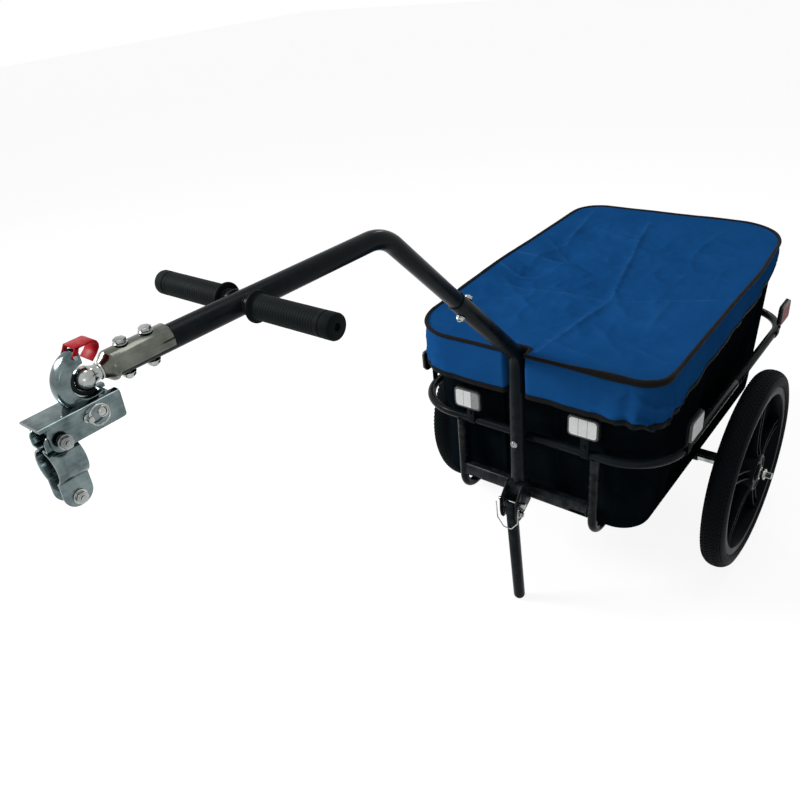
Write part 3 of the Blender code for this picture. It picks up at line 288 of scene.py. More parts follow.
ZINC = plated("bright_zinc_plate", (0.19, 0.21, 0.205), (0.50, 0.52, 0.50), (0.09, 0.20))
WARM_ZINC = plated("rolled_saddle_plate", (0.085, 0.090, 0.078), (0.15, 0.155, 0.135), (0.13, 0.24))
BLUE_ZINC = plated("passivated_hitch_plate", (0.070, 0.098, 0.102), (0.190, 0.240, 0.248), (0.10, 0.22))
CLOTH, TAPE = cloth_look(), tape_look()
WHITE_LENS = lens_look("white_prism_lens", (0.95, 0.97, 0.96), (0.80, 0.83, 0.82))
GREY_LENS = lens_look("grey_prism_lens", (0.50, 0.52, 0.51), (0.26, 0.28, 0.28))
RED_LENS = lens_look("red_prism_lens", (0.62, 0.010, 0.016), (0.26, 0.003, 0.006), 0.02)

# What piece() is told of the commonest parts: look, body and slot.
FRAME_TUBE = (BLACK_COAT, "chassis", "black_powder_coat")
PALE_BOLT, DARK_BOLT = (ZINC, "chassis", "zinc_steel"), (ZINC, "chassis", "dark_zinc_steel")
HITCH_PLATE, HITCH_BOLT = (BLUE_ZINC, "hitch", "dark_zinc_steel"), (ZINC, "hitch", "zinc_steel")


# Shapes.

def at_axis(axis, along, u, v):
    """A point from its place along the axis and its two places across it."""
    return {"X": (along, u, v), "Y": (u, along, v), "Z": (u, v, along)}[axis]


def turned(profile, axis="X", at=ZERO, steps=64, ring=False):
    """Turns a profile of (radius, place along the axis) once round the axis."""
    bm = bmesh.new()
    verts = [bm.verts.new(at_axis(axis, along, radius, 0)) for radius, along in profile]
    edges = [bm.edges.new(pair) for pair in zip(verts, verts[1:] + verts[:1] if ring else verts[1:])]
    bmesh.ops.spin(bm, geom=verts + edges, cent=ZERO, axis=AXES[axis], dvec=ZERO, angle=2 * pi, steps=steps,
                   use_merge=True, use_duplicate=False)
    bmesh.ops.remove_doubles(bm, verts=bm.verts, dist=1e-6)
    bmesh.ops.recalc_face_normals(bm, faces=bm.faces)
    bmesh.ops.translate(bm, verts=bm.verts, vec=at)
    return bm


def slab(outline, axis, low, high):
    """An outline drawn across the axis, pushed out from low to high."""
    bm = bmesh.new()
    face = bm.faces.new([bm.verts.new(at_axis(axis, low, u, v)) for u, v in outline])
    grown = bmesh.ops.extrude_face_region(bm, geom=[face])
    moved = [part for part in grown["geom"] if isinstance(part, bmesh.types.BMVert)]
    bmesh.ops.translate(bm, verts=moved, vec=AXES[axis] * (high - low))
    bmesh.ops.recalc_face_normals(bm, faces=bm.faces)
    return bm


def block(low, high):
    """A box between two opposite corners."""
    bm = bmesh.new()
    bmesh.ops.create_cube(bm, size=1.0)
    size = [b - a for a, b in zip(low, high)]
    bmesh.ops.scale(bm, vec=size, verts=bm.verts)
    bmesh.ops.translate(bm, verts=bm.verts, vec=[(a + b) / 2 for a, b in zip(low, high)])
    return bm


def rounded(bm, edges, width, segments, clamp=False):
    bmesh.ops.bevel(bm, geom=edges, offset=width, segments=segments, profile=0.5, affect="EDGES",
                    material=-1, clamp_overlap=clamp)
    return bm


def eased(bm, width, segments=2, angle=30):
    """Rounds the edges sharper than the angle."""
    bm.normal_update()
    sharp = [e for e in bm.edges if len(e.link_faces) == 2 and e.calc_face_angle(0) > radians(angle)]
    return rounded(bm, sharp, width, segments, clamp=True)


def eased_turn(profile, axis, at, steps, ease=0.0003, ring=False):
    """A turned disc, washer or sleeve whose corners are eased."""
    return eased(turned(profile, axis, at, steps, ring), ease, 2, 50)


def run_of(edge):
    return (edge.verts[0].co - edge.verts[1].co).normalized()


def pipe(path, radius, fine=8, loop=False, wobble=0.0, swell=None):
    """A rod along a path, its radius times the swell of each point."""
    line = bpy.data.curves.new("run", "CURVE")
    line.dimensions = "3D"
    spline = line.splines.new("POLY")
    spline.points.add(len(path) - 1)
    for index, (point, place) in enumerate(zip(spline.points, path)):
        point.co = (*place, 1)
        point.radius = swell[index] if swell else 1 + wobble * (1 if index % 2 else -1)
    spline.use_cyclic_u = loop
    line.bevel_depth = radius
    line.bevel_resolution = fine
    line.use_fill_caps = not loop
    holder = bpy.data.objects.new("run", line)
    mesh = bpy.data.meshes.new_from_object(holder)
    bm = bmesh.new()
    bm.from_mesh(mesh)
    bpy.data.objects.remove(holder)
    bpy.data.curves.remove(line)
    bpy.data.meshes.remove(mesh)
    bmesh.ops.remove_doubles(bm, verts=bm.verts, dist=1e-6)
    bmesh.ops.recalc_face_normals(bm, faces=bm.faces)
    return bm


def bent(points, radius, steps):
    """A path whose inner corners are arcs."""
    points = [Vector(p) for p in points]
    path = [points[0]]
    for before, corner, after in zip(points, points[1:], points[2:]):
        back, on = (before - corner).normalized(), (after - corner).normalized()
        half = back.angle(on) / 2
        centre = corner + (back + on).normalized() * radius / sin(half)
        first = corner + back * radius / tan(half) - centre
        last = corner + on * radius / tan(half) - centre
        turn = first.angle(last)
        for k in range(steps + 1):
            a, b = sin(turn * (1 - k / steps)), sin(turn * k / steps)
            path.append(centre + (first * a + last * b) / sin(turn))
    return path + [points[-1]]


def band(path, thickness):
    """Outline of a bent sheet whose middle line is the path, given in two dimensions."""
    points = [Vector((*p, 0)) for p in path]
    sides = ([], [])
    for i, point in enumerate(points):
        back = (point - points[i - 1]).normalized() if i else None
        on = (points[i + 1] - point).normalized() if i < len(points) - 1 else None
        along = ((back or on) + (on or back)).normalized()
        normal = Vector((-along.y, along.x, 0))
        stretch = 1 / max(0.5, normal.dot(Vector((-(on or back).y, (on or back).x, 0))))
        for side, sign in zip(sides, (1, -1)):
            side.append((point + normal * sign * thickness / 2 * stretch).to_2d())
    return [tuple(p) for p in sides[0] + sides[1][::-1]]


def joined(*shapes):
    """Several shapes in one."""
    whole = bmesh.new()
    for shape in shapes:
        scratch = bpy.data.meshes.new("part")
        shape.to_mesh(scratch)
        shape.free()
        whole.from_mesh(scratch)
        bpy.data.meshes.remove(scratch)
    return whole


def of_node(name, width, angle):
    """The CAD node's own shape with its edges eased."""
    bm = bmesh.new()
    bm.from_mesh(NODES[name].data)
    bmesh.ops.remove_doubles(bm, verts=bm.verts, dist=1e-5)
    bmesh.ops.dissolve_limit(bm, angle_limit=radians(1), verts=bm.verts, edges=bm.edges)
    bmesh.ops.translate(bm, verts=bm.verts, vec=(0, -SHIFT, 0))
    return eased(bm, width, 2, angle)


def turned_to(bm, matrix):
    bmesh.ops.transform(bm, matrix=matrix, verts=bm.verts)
    return bm


def flipped(bm):
    """The mirror image across the centre plane."""
    bmesh.ops.scale(bm, vec=(-1, 1, 1), verts=bm.verts)
    bmesh.ops.reverse_faces(bm, faces=bm.faces)
    return bm


def sided(bm, sign):
    """The shape of the right side, or its mirror image for the left one."""
    return bm if sign > 0 else flipped(bm)


def piece(name, shape, look, body, slot, *replaced, sharp=38):
    """Makes the object, lets it ride on its body, and hides the nodes that it stands for; the slot is not used."""
    bmesh.ops.translate(shape, verts=shape.verts, vec=(0, SHIFT, 0))
    mesh = bpy.data.meshes.new(name)
    shape.to_mesh(mesh)
    shape.free()
    mesh.materials.append(look)
    made = bpy.data.objects.new(name, mesh)
    bpy.context.scene.collection.objects.link(made)
    mesh.shade_smooth()
    if sharp:
        mesh.set_sharp_from_angle(angle=radians(sharp))
    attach(made, body)
    if replaced:
        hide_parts(*replaced)
    return made


def weld(path, size):
    """A rippled weld bead along a closed path."""
    return pipe(path, size, 3, loop=True, wobble=0.16)


def circle(radius, count):
    """Points of a circle in the plane."""
    return [(radius * cos(2 * pi * k / count), radius * sin(2 * pi * k / count)) for k in range(count)]


def bead(centre, axis, radius, size=0.0016, turns=34):
    """A weld bead round a joint."""
    return weld([Vector(centre) + Vector(at_axis(axis, 0, u, v)) for u, v in circle(radius, turns)], size)


def hexagon(radius, low, high, axis, at, ease=0.0007):
    """A six-sided head or nut, its outer corners eased."""
    bm = eased(slab(circle(radius, 6), axis, low, high), ease, 2, 50)
    bmesh.ops.translate(bm, verts=bm.verts, vec=at)
    return bm


# Gap between a head, washer, plate or lens and what it sits on.
CLEAR = 0.0003
HEAD_H, WASHER_H = 0.005, 0.0009


def fastener(axis, at, nut_end, head_end, shank=0.003, head=0.0062, nut_h=0.005):
    """A bolt with a hexagon head, two washers, a locking nut and a threaded tail."""
    way = 1 if head_end > nut_end else -1
    at = Vector(at_axis(axis, 0, *at))

    def disc(radius, *ends):
        low, high = sorted(ends)
        return eased_turn([(0, low), (radius, low), (radius, high), (0, high)], axis, at, 40, 0.0002)

    def six_sided(*ends):
        return hexagon(head, *sorted(ends), axis, at)

    head_seat, nut_seat = head_end + way * WASHER_H, nut_end - way * WASHER_H
    collar = nut_end - way * nut_h
    shapes = [turned([(0, nut_end), (shank, nut_end), (shank, head_end), (0, head_end)], axis, at, 24)]
    shapes += [disc(head * 1.12, head_end, head_seat), disc(head * 1.12, nut_end, nut_seat)]
    shapes += [six_sided(head_seat, head_end + way * HEAD_H), six_sided(nut_seat, collar)]
    shapes.append(disc(head * 0.72, collar, collar - way * 0.0007))
    tail = nut_end - way * (nut_h + 0.002)
    rows, place, step = [(0, tail), (shank * 0.8, tail)], tail, way * 0.0004
    while abs(place - tail) < 0.0019:
        rows += [(shank * 0.82, place + step * 0.3), (shank, place + step * 0.65)]
        place += step
    rows += [(shank * 0.82, collar + way * 0.0003), (0, collar + way * 0.0003)]
    shapes.append(turned(rows, axis, at, 24))
    return joined(*shapes)


# Frame.

TUBE_R = 0.008
HOOP_Z, HOOP_HALF, HOOP_FRONT, HOOP_REAR, HOOP_CORNER, HOOP_SPLIT = 0.376, 0.251, -0.336, 0.356, 0.097, 0.010
RAIL_X, RAIL_Z, RAIL_BEND = 0.135, 0.203, 0.035
SIDES = (("right", 1), ("left", -1))


def tube_frame():
    for end, y, gap in (("front", HOOP_FRONT, -0.0002), ("rear", HOOP_REAR, 0.0002)):
        split = HOOP_SPLIT + gap
        corners = [(-HOOP_HALF, split), (-HOOP_HALF, y), (HOOP_HALF, y), (HOOP_HALF, split)]
        path = bent([(x, v, HOOP_Z) for x, v in corners], HOOP_CORNER, 26)
        half = eased(pipe(path, TUBE_R, 12), 0.0006, 2, 60)
        nodes = ["hoop_" + end] + (["hoop_plug_right", "hoop_plug_left"] if end == "rear" else [])
        piece(f"hoop_tube_{end}", half, *FRAME_TUBE, *nodes)
    top = HOOP_Z - TUBE_R
    for side, sign in SIDES:
        x = sign * RAIL_X
        turns = [(HOOP_FRONT, top), (HOOP_FRONT, RAIL_Z), (HOOP_REAR, RAIL_Z), (HOOP_REAR, top)]
        run = pipe(bent([(x, y, z) for y, z in turns], RAIL_BEND, 18), TUBE_R, 12)
        beads = [bead((x, y, top + 0.0007), "Z", TUBE_R * 0.93) for y in (HOOP_FRONT, HOOP_REAR)]
        piece(f"rail_tube_{side}", joined(run, *beads), *FRAME_TUBE, f"rail_{side}")

    half = RAIL_X - TUBE_R
    bar = of_node("front_crossbar", 0.0008, 40)
    welds = []
    for sign in (1, -1):
        x = sign * (half - 0.0006)
        square = ((-1, -1), (1, -1), (1, 1), (-1, 1))
        corners = [(HOOP_FRONT + u * 0.0075, 0.2585 + v * 0.012) for u, v in square]
        loop = []
        for (y0, z0), (y1, z1) in zip(corners, corners[1:] + corners[:1]):
            loop += [Vector((x, y0 + (y1 - y0) * k / 9, z0 + (z1 - z0) * k / 9)) for k in range(9)]
        welds.append(weld(loop, 0.0013))
    piece("crossbar_tube", joined(bar, *welds), *FRAME_TUBE, "front_crossbar")


WHEEL_R, WHEEL_X = 0.200, 0.298
HUB_OUT = 0.024


def axle():
    shapes, hub = [], (0, 0, WHEEL_R)
    for low, high in ((-0.205, -0.1433), (-0.1267, 0.1267), (0.1433, 0.205)):
        rows = [(0.0063, low), (0.011, low), (0.011, high), (0.0063, high)]
        shapes.append(eased_turn(rows, "X", hub, 48, 0.0006, ring=True))
    for sign in (1, -1):
        low, high = sorted((sign * (RAIL_X - 0.022), sign * (RAIL_X + 0.022)))
        shapes.append(eased(block((low, -0.014, 0.1857), (high, 0.014, 0.1947)), 0.0015, 3))
        low, high = sorted((sign * 0.180, sign * 0.262))
        shapes.append(eased(block((low, -0.011, 0.2093), (high, 0.011, 0.2110)), 0.0006, 2))
        shapes.append(bead((sign * 0.2052, 0, WHEEL_R), "X", 0.0095, 0.0012, 28))
    piece("axle_tube", joined(*shapes), *FRAME_TUBE, "axle_beam")
    inner, outer = WHEEL_X - HUB_OUT - CLEAR, WHEEL_X + HUB_OUT + CLEAR
    for side, sign in SIDES:
        rows = [(0, 0.158), (0.006, 0.158), (0.006, 0.2053)]
        rows += [(0.0086, 0.2053), (0.009, 0.2057), (0.009, inner - 0.0004)]
        rows += [(0.0086, inner), (0.006, inner), (0.006, outer + 0.011)]
        place = outer + 0.011
        while place < 0.3435:
            rows += [(0.0052, place + 0.0003), (0.006, place + 0.0008)]
            place += 0.001
        rows += [(0.0048, 0.345), (0, 0.345)]
        stub = sided(turned(rows, "X", hub, 48), sign)
        piece(f"axle_stub_{side}", stub, *PALE_BOLT, f"axle_{side}")
        rows = [(0.0062, outer), (0.0125, outer), (0.0125, outer + 0.002), (0.0062, outer + 0.002)]
        washer = eased_turn(rows, "X", hub, 48, ring=True)
        nut = hexagon(0.011, outer + 0.002, outer + 0.0112, "X", hub, 0.0009)
        rows = [(0, outer + 0.011), (0.0082, outer + 0.011), (0.0076, outer + 0.012), (0, outer + 0.012)]
        collar = eased_turn(rows, "X", hub, 40)
        nut = sided(joined(washer, nut, collar), sign)
        piece(f"axle_locknut_{side}", nut, *PALE_BOLT, f"axle_nut_{side}")


# Wheels.

TYRE_HALF = 0.0222
RIB_ANGLES = (60, 132, 204, 276, 348)
VALVE_ANGLE, VALVE_AT, VALVE_R = -68, 0.122, 0.0135
WEB_IN, WEB_OUT = -0.012, -0.008


def crown(across):
    """Radius of the bare tread at a distance from the tyre's middle."""
    share = min(1, abs(across) / TYRE_HALF)
    return 0.1984 - 0.0200 * (1 - (1 - share ** 2.3) ** 0.5)


def tyre_shape():
    side = [(0.1606, 0.0140), (0.1640, 0.0152), (0.1690, 0.0158)]
    side += [(0.1712, 0.0182), (0.1722, 0.0198), (0.1738, 0.0206)]
    side += [(0.1752, 0.0214), (0.1758, 0.0212), (0.1764, 0.0217), (0.1775, 0.0220)]
    places = (0.0218, 0.0209, 0.0194, 0.0174, 0.0150, 0.0120, 0.0088, 0.0052, 0.0018)
    outer = side + [(crown(across), across) for across in places]
    inner = [(0.1960, 0.0030), (0.1850, 0.0170), (0.1606, 0.0118)]
    section = outer + [(r, -t) for r, t in reversed(outer)] + [(r, -t) for r, t in reversed(inner)] + inner
    shapes = [turned(section, "X", ZERO, 160, ring=True)]
    pitches = 132
    rows = [(0.0, 0.0026, 0.0060, 0, 0.0), (0.0046, 0.0034, 0.0046, -14, 0.5)]
    rows += [(0.0092, 0.0034, 0.0048, 18, 0.0)]
    rows += [(0.0136, 0.0034, 0.0050, -10, 0.5), (0.0176, 0.0030, 0.0056, 0, 0.25)]
    for across, wide, long, skew, offset in rows:
        for sign in ((1, -1) if across else (1,)):
            lean = atan2(crown(across + 0.001) - crown(across - 0.001), 0.002) if across else 0
            knob = block((-wide / 2, -long / 2, -0.0012), (wide / 2, long / 2, 0.0013))
            top = [v for v in knob.verts if v.co.z > 0]
            bmesh.ops.scale(knob, vec=(0.82, 0.86, 1), verts=top)
            turned_to(knob, Matrix.Rotation(radians(skew * sign), 4, "Z"))
            turned_to(knob, Matrix.Rotation(-lean * sign, 4, "Y"))
            bmesh.ops.translate(knob, verts=knob.verts, vec=(across * sign, 0, crown(across)))
            scratch = bpy.data.meshes.new("knob")
            knob.to_mesh(scratch)
            knob.free()
            ring = bmesh.new()
            for k in range(pitches):
                one = bmesh.new()
                one.from_mesh(scratch)
                turned_to(one, Matrix.Rotation(2 * pi * (k + offset) / pitches, 4, "X"))
                placed = bpy.data.meshes.new("placed")
                one.to_mesh(placed)
                one.free()
                ring.from_mesh(placed)
                bpy.data.meshes.remove(placed)
            bpy.data.meshes.remove(scratch)
            shapes.append(ring)
    return joined(*shapes)


def cut_out(bm, cutter):
    """The shape with the cutter taken away."""
    meshes = []
    for shape in (bm, cutter):
        mesh = bpy.data.meshes.new("cut")
        shape.to_mesh(mesh)
        shape.free()
        meshes.append(mesh)
    body, tool = [bpy.data.objects.new("cut", mesh) for mesh in meshes]
    for made in (body, tool):
        bpy.context.scene.collection.objects.link(made)
    modifier = body.modifiers.new("cut", "BOOLEAN")
    modifier.operation = "DIFFERENCE"
    modifier.object = tool
    bpy.context.view_layer.update()
    result = bpy.data.meshes.new_from_object(body.evaluated_get(bpy.context.evaluated_depsgraph_get()))
    out = bmesh.new()
    out.from_mesh(result)
    for made in (body, tool):
        bpy.data.objects.remove(made)
    for mesh in meshes + [result]:
        bpy.data.meshes.remove(mesh)
    return out


def wheel_shape():
    rows = [(0.0063, -HUB_OUT), (0.015, -HUB_OUT), (0.016, -HUB_OUT + 0.001)]
    rows += [(0.016, WEB_IN - 0.002), (0.018, WEB_IN)]
    rows += [(0.150, WEB_IN), (0.1530, WEB_IN - 0.0008), (0.1548, -0.0160)]
    rows += [(0.1556, -0.0182), (0.1570, -0.0185)]
    rows += [(0.1690, -0.0185), (0.1700, -0.0178), (0.1700, -0.0150), (0.1602, -0.0148), (0.1602, 0.0148)]
    rows += [(0.1700, 0.0150), (0.1700, 0.0178), (0.1690, 0.0185), (0.1575, 0.0185), (0.1562, 0.0180)]
    rows += [(0.1552, 0.0160), (0.1546, WEB_OUT + 0.003), (0.1535, WEB_OUT + 0.0008), (0.1515, WEB_OUT)]
    rows += [(0.0395, WEB_OUT), (0.0372, WEB_OUT + 0.0008), (0.0365, WEB_OUT + 0.003), (0.0365, 0.0205)]
    rows += [(0.0355, 0.0218), (0.0340, 0.0222), (0.0325, 0.0218), (0.0316, 0.0206), (0.0300, 0.0200)]
    rows += [(0.0195, 0.0200), (0.0180, 0.0206), (0.0172, 0.0232), (0.0160, 0.0240), (0.0063, 0.0240)]
    disc = turned(rows, "X", ZERO, 144, ring=True)
    spot = radians(VALVE_ANGLE)
    hole = turned([(0, -0.03), (VALVE_R, -0.03), (VALVE_R, 0.0), (0, 0.0)], "X",
                  (0, -VALVE_AT * cos(spot), VALVE_AT * sin(spot)), 48)
    shapes = [cut_out(disc, hole)]
    for angle in RIB_ANGLES:
        for offset in (-0.008, 0.008):
            outline = [(0.035, 0.0185), (0.050, 0.0145), (0.080, 0.0118)]
            outline += [(0.130, 0.0108), (0.1565, 0.0135)]
            outline += [(0.1565, WEB_OUT - 0.001), (0.035, WEB_OUT - 0.001)]
            rib = slab([(y, x) for x, y in outline], "Y", offset - 0.0014, offset + 0.0014)
            eased(rib, 0.0007, 2, 40)
            turned_to(rib, Matrix.Rotation(-radians(angle) - pi / 2, 4, "X"))
            shapes.append(rib)
        cross = block((WEB_OUT - 0.001, -0.0085, 0.094), (0.0065, 0.0085, 0.0962))
        eased(cross, 0.0005, 2)
        shapes.append(turned_to(cross, Matrix.Rotation(-radians(angle) - pi / 2, 4, "X")))
    screw = [(0, 0.0195), (0.0034, 0.0195), (0.0034, 0.0206), (0.0028, 0.0212), (0, 0.0212)]
    shapes += [turned(screw, "X", (0, *place), 20) for place in circle(0.0255, 5)]
    return joined(*shapes)


def valve_shape():
    spot = radians(VALVE_ANGLE)
    rows = [(0, 0.128), (0.0022, 0.128), (0.0026, 0.129)]
    rows += [(0.0026, 0.137), (0.0030, 0.1375), (0.0036, 0.139)]
    rows += [(0.0036, 0.156), (0.0046, 0.161), (0, 0.161)]
    stem = turned(rows, "Z", ZERO, 24)
    return turned_to(stem, Matrix.Rotation(-(spot - pi / 2) + pi, 4, "X"))


def wheels():
    for side, sign in SIDES:
        centre, body = Matrix.Translation((sign * WHEEL_X, 0, WHEEL_R)), f"wheel_{side}"
        tyre = turned_to(sided(tyre_shape(), sign), centre)
        piece(f"tyre_tread_{side}", tyre, TYRE_BLACK, body, "rubber", f"tyre_{side}", sharp=30)
        wheel = turned_to(sided(wheel_shape(), sign), centre)
        piece(f"wheel_moulding_{side}", wheel, WHEEL_BLACK, body, "wheel_plastic", f"wheel_{side}")
        valve = turned_to(sided(valve_shape(), sign), centre)
        piece(f"valve_{side}", valve, TYRE_BLACK, body, "rubber")


# Drawbar and handle.

LOWER_R, UPPER_R, GRIP_END = 0.014, 0.0125, 0.130
POST_Y = HOOP_FRONT - TUBE_R - LOWER_R - CLEAR
BEND_Z, SLOPE, SLOPE_LENGTH, REACH = 0.546, radians(44.8), 0.430, 0.230
RISE = radians(0.8)
HANDLE_Y = -0.890


def bar_z(y):
    bend_y = POST_Y - SLOPE_LENGTH * cos(SLOPE)
    return BEND_Z + SLOPE_LENGTH * sin(SLOPE) + (bend_y - y) * tan(RISE)


BALL, BALL_R = Vector((0, -1.0724, bar_z(-1.05))), 0.011


def drawbar():
    slope = Vector((0, -cos(SLOPE), sin(SLOPE)))
    across = Vector((0, sin(SLOPE), cos(SLOPE)))
    first = Vector((0, POST_Y, BEND_Z))
    second = first + SLOPE_LENGTH * slope
    lower = pipe(bent([(0, POST_Y, 0.262), first, first + REACH * slope], 0.065, 20), LOWER_R, 16)
    eased(lower, 0.0012, 3, 60)
    piece("post_tube", lower, *FRAME_TUBE, "drawbar_lower")
    end = Vector((0, -1.045, bar_z(-1.045)))
    upper = pipe(bent([first + 0.150 * slope, second, end], 0.070, 24), UPPER_R, 16)
    eased(upper, 0.0012, 3, 60)
    welds = [bead((sign * 0.0117, HANDLE_Y, bar_z(HANDLE_Y)), "X", 0.0105, 0.0013, 40) for sign in (1, -1)]
    piece("bar_tube", joined(upper, *welds), *FRAME_TUBE, "drawbar_upper")

    turn = Vector((0, 0, 1)).rotation_difference(across).to_matrix().to_4x4()
    bolt = fastener("Z", (0, 0), -LOWER_R - CLEAR, LOWER_R + CLEAR)
    turned_to(bolt, Matrix.Translation(first + 0.2015 * slope) @ turn)
    piece("joint_bolt", bolt, *DARK_BOLT, "drawbar_bolt")
    face = POST_Y - LOWER_R - CLEAR
    rows = [(0, HOOP_FRONT), (0.003, HOOP_FRONT), (0.003, face), (0.0066, face), (0.0066, face - 0.0008)]
    rows += [(0.0058, face - 0.0010), (0.0054, face - 0.0028)]
    rows += [(0.0040, face - 0.0040), (0, face - 0.0045)]
    screw = turned(rows, "Y", (0, 0, HOOP_Z - 0.001), 40)
    piece("post_screw", screw, *DARK_BOLT, "post_bolt")


def handle():
    z = bar_z(HANDLE_Y)
    for side, sign in SIDES:
        stub = sided(pipe([Vector((x, HANDLE_Y, z)) for x in (0.0115, GRIP_END - 0.004)], 0.011, 12), sign)
        piece(f"handle_tube_{side}", stub, *FRAME_TUBE, f"handle_{side}")
        rows = [(0.0113, 0.1262), (0.0113, 0.022), (0.0160, 0.022)]
        rows += [(0.0170, 0.0228), (0.0170, 0.0242), (0.0162, 0.0250)]
        rows += [(0.0138, 0.0256), (0.0133, 0.0270)]
        place = 0.030
        while place < 0.112:
            rows += [(0.0134, place), (0.01322, place + 0.0005)]
            rows += [(0.01322, place + 0.0009), (0.0134, place + 0.0014)]
            place += 0.0036
        rows += [(0.0134, 0.1155), (0.0129, 0.1158), (0.0129, 0.1176), (0.0135, 0.1180), (0.0135, 0.1278)]
        rows += [(0.0130, 0.1292), (0.0118, 0.1300), (0.0044, 0.1300)]
        rows += [(0.0040, 0.1296), (0.0040, 0.1265), (0, 0.1265)]
        grip = sided(turned(rows, "X", (0, HANDLE_Y, z), 72), sign)
        piece(f"grip_skin_{side}", grip, GRIP_BLACK, "chassis", "grip_rubber", f"grip_{side}")


# Stand.

PIVOT_Y, PIVOT_Z, LEG_R = -0.3837, 0.2336, 0.0111
LEG_TILT = atan(0.094)
LOCK_Y, LOCK_Z, LOCK_R = -0.384, 0.255, 0.0035


def stand():
    inner = LOWER_R + CLEAR
    bracket = of_node("stand_bracket", 0.0006, 35)
    seam = bead((0, POST_Y, 0.2902), "Z", 0.0146, 0.0012, 44)
    web = eased(block((-inner - 0.0002, -0.3716, 0.2405), (inner + 0.0002, -0.3694, 0.2895)), 0.0004, 1, 60)
    piece("bracket_plates", joined(bracket, web, seam), *FRAME_TUBE, "stand_bracket")

    reach = (PIVOT_Z - LEG_R) / cos(LEG_TILT)
    foot = [radians(a) for a in range(80, -1, -10)]
    rows = [(0, -reach - LEG_R)] + [(LEG_R * cos(a), -reach - LEG_R * sin(a)) for a in foot]
    rows += [(LEG_R, 0.0280), (0.0108, 0.0284), (0.0095, 0.0284)]
    rows += [(0.0092, 0.0280), (0.0092, -0.02), (0, -0.02)]
    leg = turned(rows, "Z", ZERO, 56)
    notch = block((-0.02, -LOCK_R - 0.0012, 0.0110), (0.02, 0.02, 0.05))
    leg = cut_out(leg, notch)
    turned_to(leg, Matrix.Translation((0, PIVOT_Y, PIVOT_Z)) @ Matrix.Rotation(LEG_TILT, 4, "X"))
    piece("leg_tube", leg, BLACK_COAT, "stand", "black_powder_coat", "stand_leg")

    edge = inner + 0.0025 + CLEAR
    bolt = fastener("X", (PIVOT_Y, PIVOT_Z), edge, -edge, shank=0.004, head=0.0068)
    piece("pivot_bolt", bolt, *DARK_BOLT, "stand_pivot_bolt")

    rows = [(0, -0.0275), (0.0018, -0.0275), (0.0030, -0.0266)]
    rows += [(LOCK_R, -0.0250), (LOCK_R, edge + 0.0004)]
    rows += [(0.0051, edge + 0.0004), (0.0055, edge + 0.0008), (0.0055, 0.0269)]
    rows += [(0.0050, 0.0275), (0, 0.0275)]
    pin = turned(rows, "X", (0, LOCK_Y, LOCK_Z), 40)
    piece("stand_pin", pin, ZINC, "lock_pin", "dark_zinc_steel", "lock_pin")
    front = PIVOT_Y - 0.0148 - 0.0022
    turns = [(0.0225, LOCK_Y + 0.009, LOCK_Z), (0.0225, front, LOCK_Z)]
    turns += [(0.0215, front, 0.225), (0.008, front, 0.2065)]
    turns += [(-0.008, front, 0.2065), (-0.0205, front, 0.2235), (-0.0225, front, LOCK_Z + 0.004)]
    wire_run = eased(pipe(bent(turns, 0.0055, 8), 0.0011, 4), 0.0003, 2, 60)
    piece("pin_bail", wire_run, ZINC, "lock_bail", "zinc_steel", "lock_bail")


# Hitch.

HOOK_HALF, SEAT_R, HOOK_R = 0.0075, 0.0162, 0.029
CHANNEL_TOP, CHANNEL_HALF, PLATE = 0.838, 0.016, 0.0025
CLAMP_Y, CLAMP_Z, CLAMP_LOW, BORE_Z, CLAMP_R = -1.115, 0.820, 0.759, 0.794, 0.01735


def saddle():
    inner, outer, z = 0.0133, 0.0148, BALL.z
    rim = z - 0.004
    turn = [(cos(pi * k / 40), sin(pi * k / 40)) for k in range(41)]
    arch = [(inner, rim)] + [(inner * u, z + inner * v) for u, v in turn] + [(-inner, rim), (-outer, rim)]
    arch += [(-outer * u, z + outer * v) for u, v in turn] + [(outer, rim)]
    shell = eased(slab(arch, "Y", -1.0475, -0.985), 0.0005, 2, 50)
    rows = [(0.0052, -1.0565), (0.0072, -1.0565), (0.0080, -1.0558), (0.0100, -1.0530), (0.0128, -1.0503)]
    rows += [(0.0143, -1.0485), (0.0148, -1.0468), (0.0148, -1.0450)]
    rows += [(0.0133, -1.0450), (0.0110, -1.0490), (0.0052, -1.0520)]
    cone = turned(rows, "Y", (0, 0, z), 64, ring=True)
    lower = [v for v in cone.verts if v.co.z < z - 0.0075]
    bmesh.ops.scale(cone, vec=(0.92, 1, 0.97), verts=lower, space=Matrix.Translation((0, 0, -z)))
    piece("saddle_plate", joined(shell, cone), WARM_ZINC, "chassis", "zinc_steel", "saddle")
    for end, y in (("front", -1.031), ("rear", -1.004)):
        bolt = fastener("Z", (0, y), bar_z(y) - UPPER_R - CLEAR, z + outer + CLEAR, nut_h=0.0045)
        piece(f"saddle_fixing_{end}", bolt, *PALE_BOLT, f"saddle_bolt_{end}")

    rows = [(0, -1.036), (0.0048, -1.036), (0.0048, -1.0568)]
    rows += [(0.0076, -1.0568), (0.0080, -1.0572), (0.0080, -1.0586)]
    rows += [(0.0076, -1.0590), (0.0070, -1.0592), (0.0068, -1.0600), (0.0082, -1.0640)]
    rows += [(BALL_R * sin(radians(a)), BALL.y + BALL_R * cos(radians(a))) for a in range(56, 164, 6)]
    rows += [(0.0028, BALL.y - 0.0105), (0.0024, BALL.y - 0.0098), (0, BALL.y - 0.0096)]
    piece("ball", turned(rows, "Y", (0, 0, BALL.z), 64), ZINC, "ball", "zinc_steel", "ball_stud")


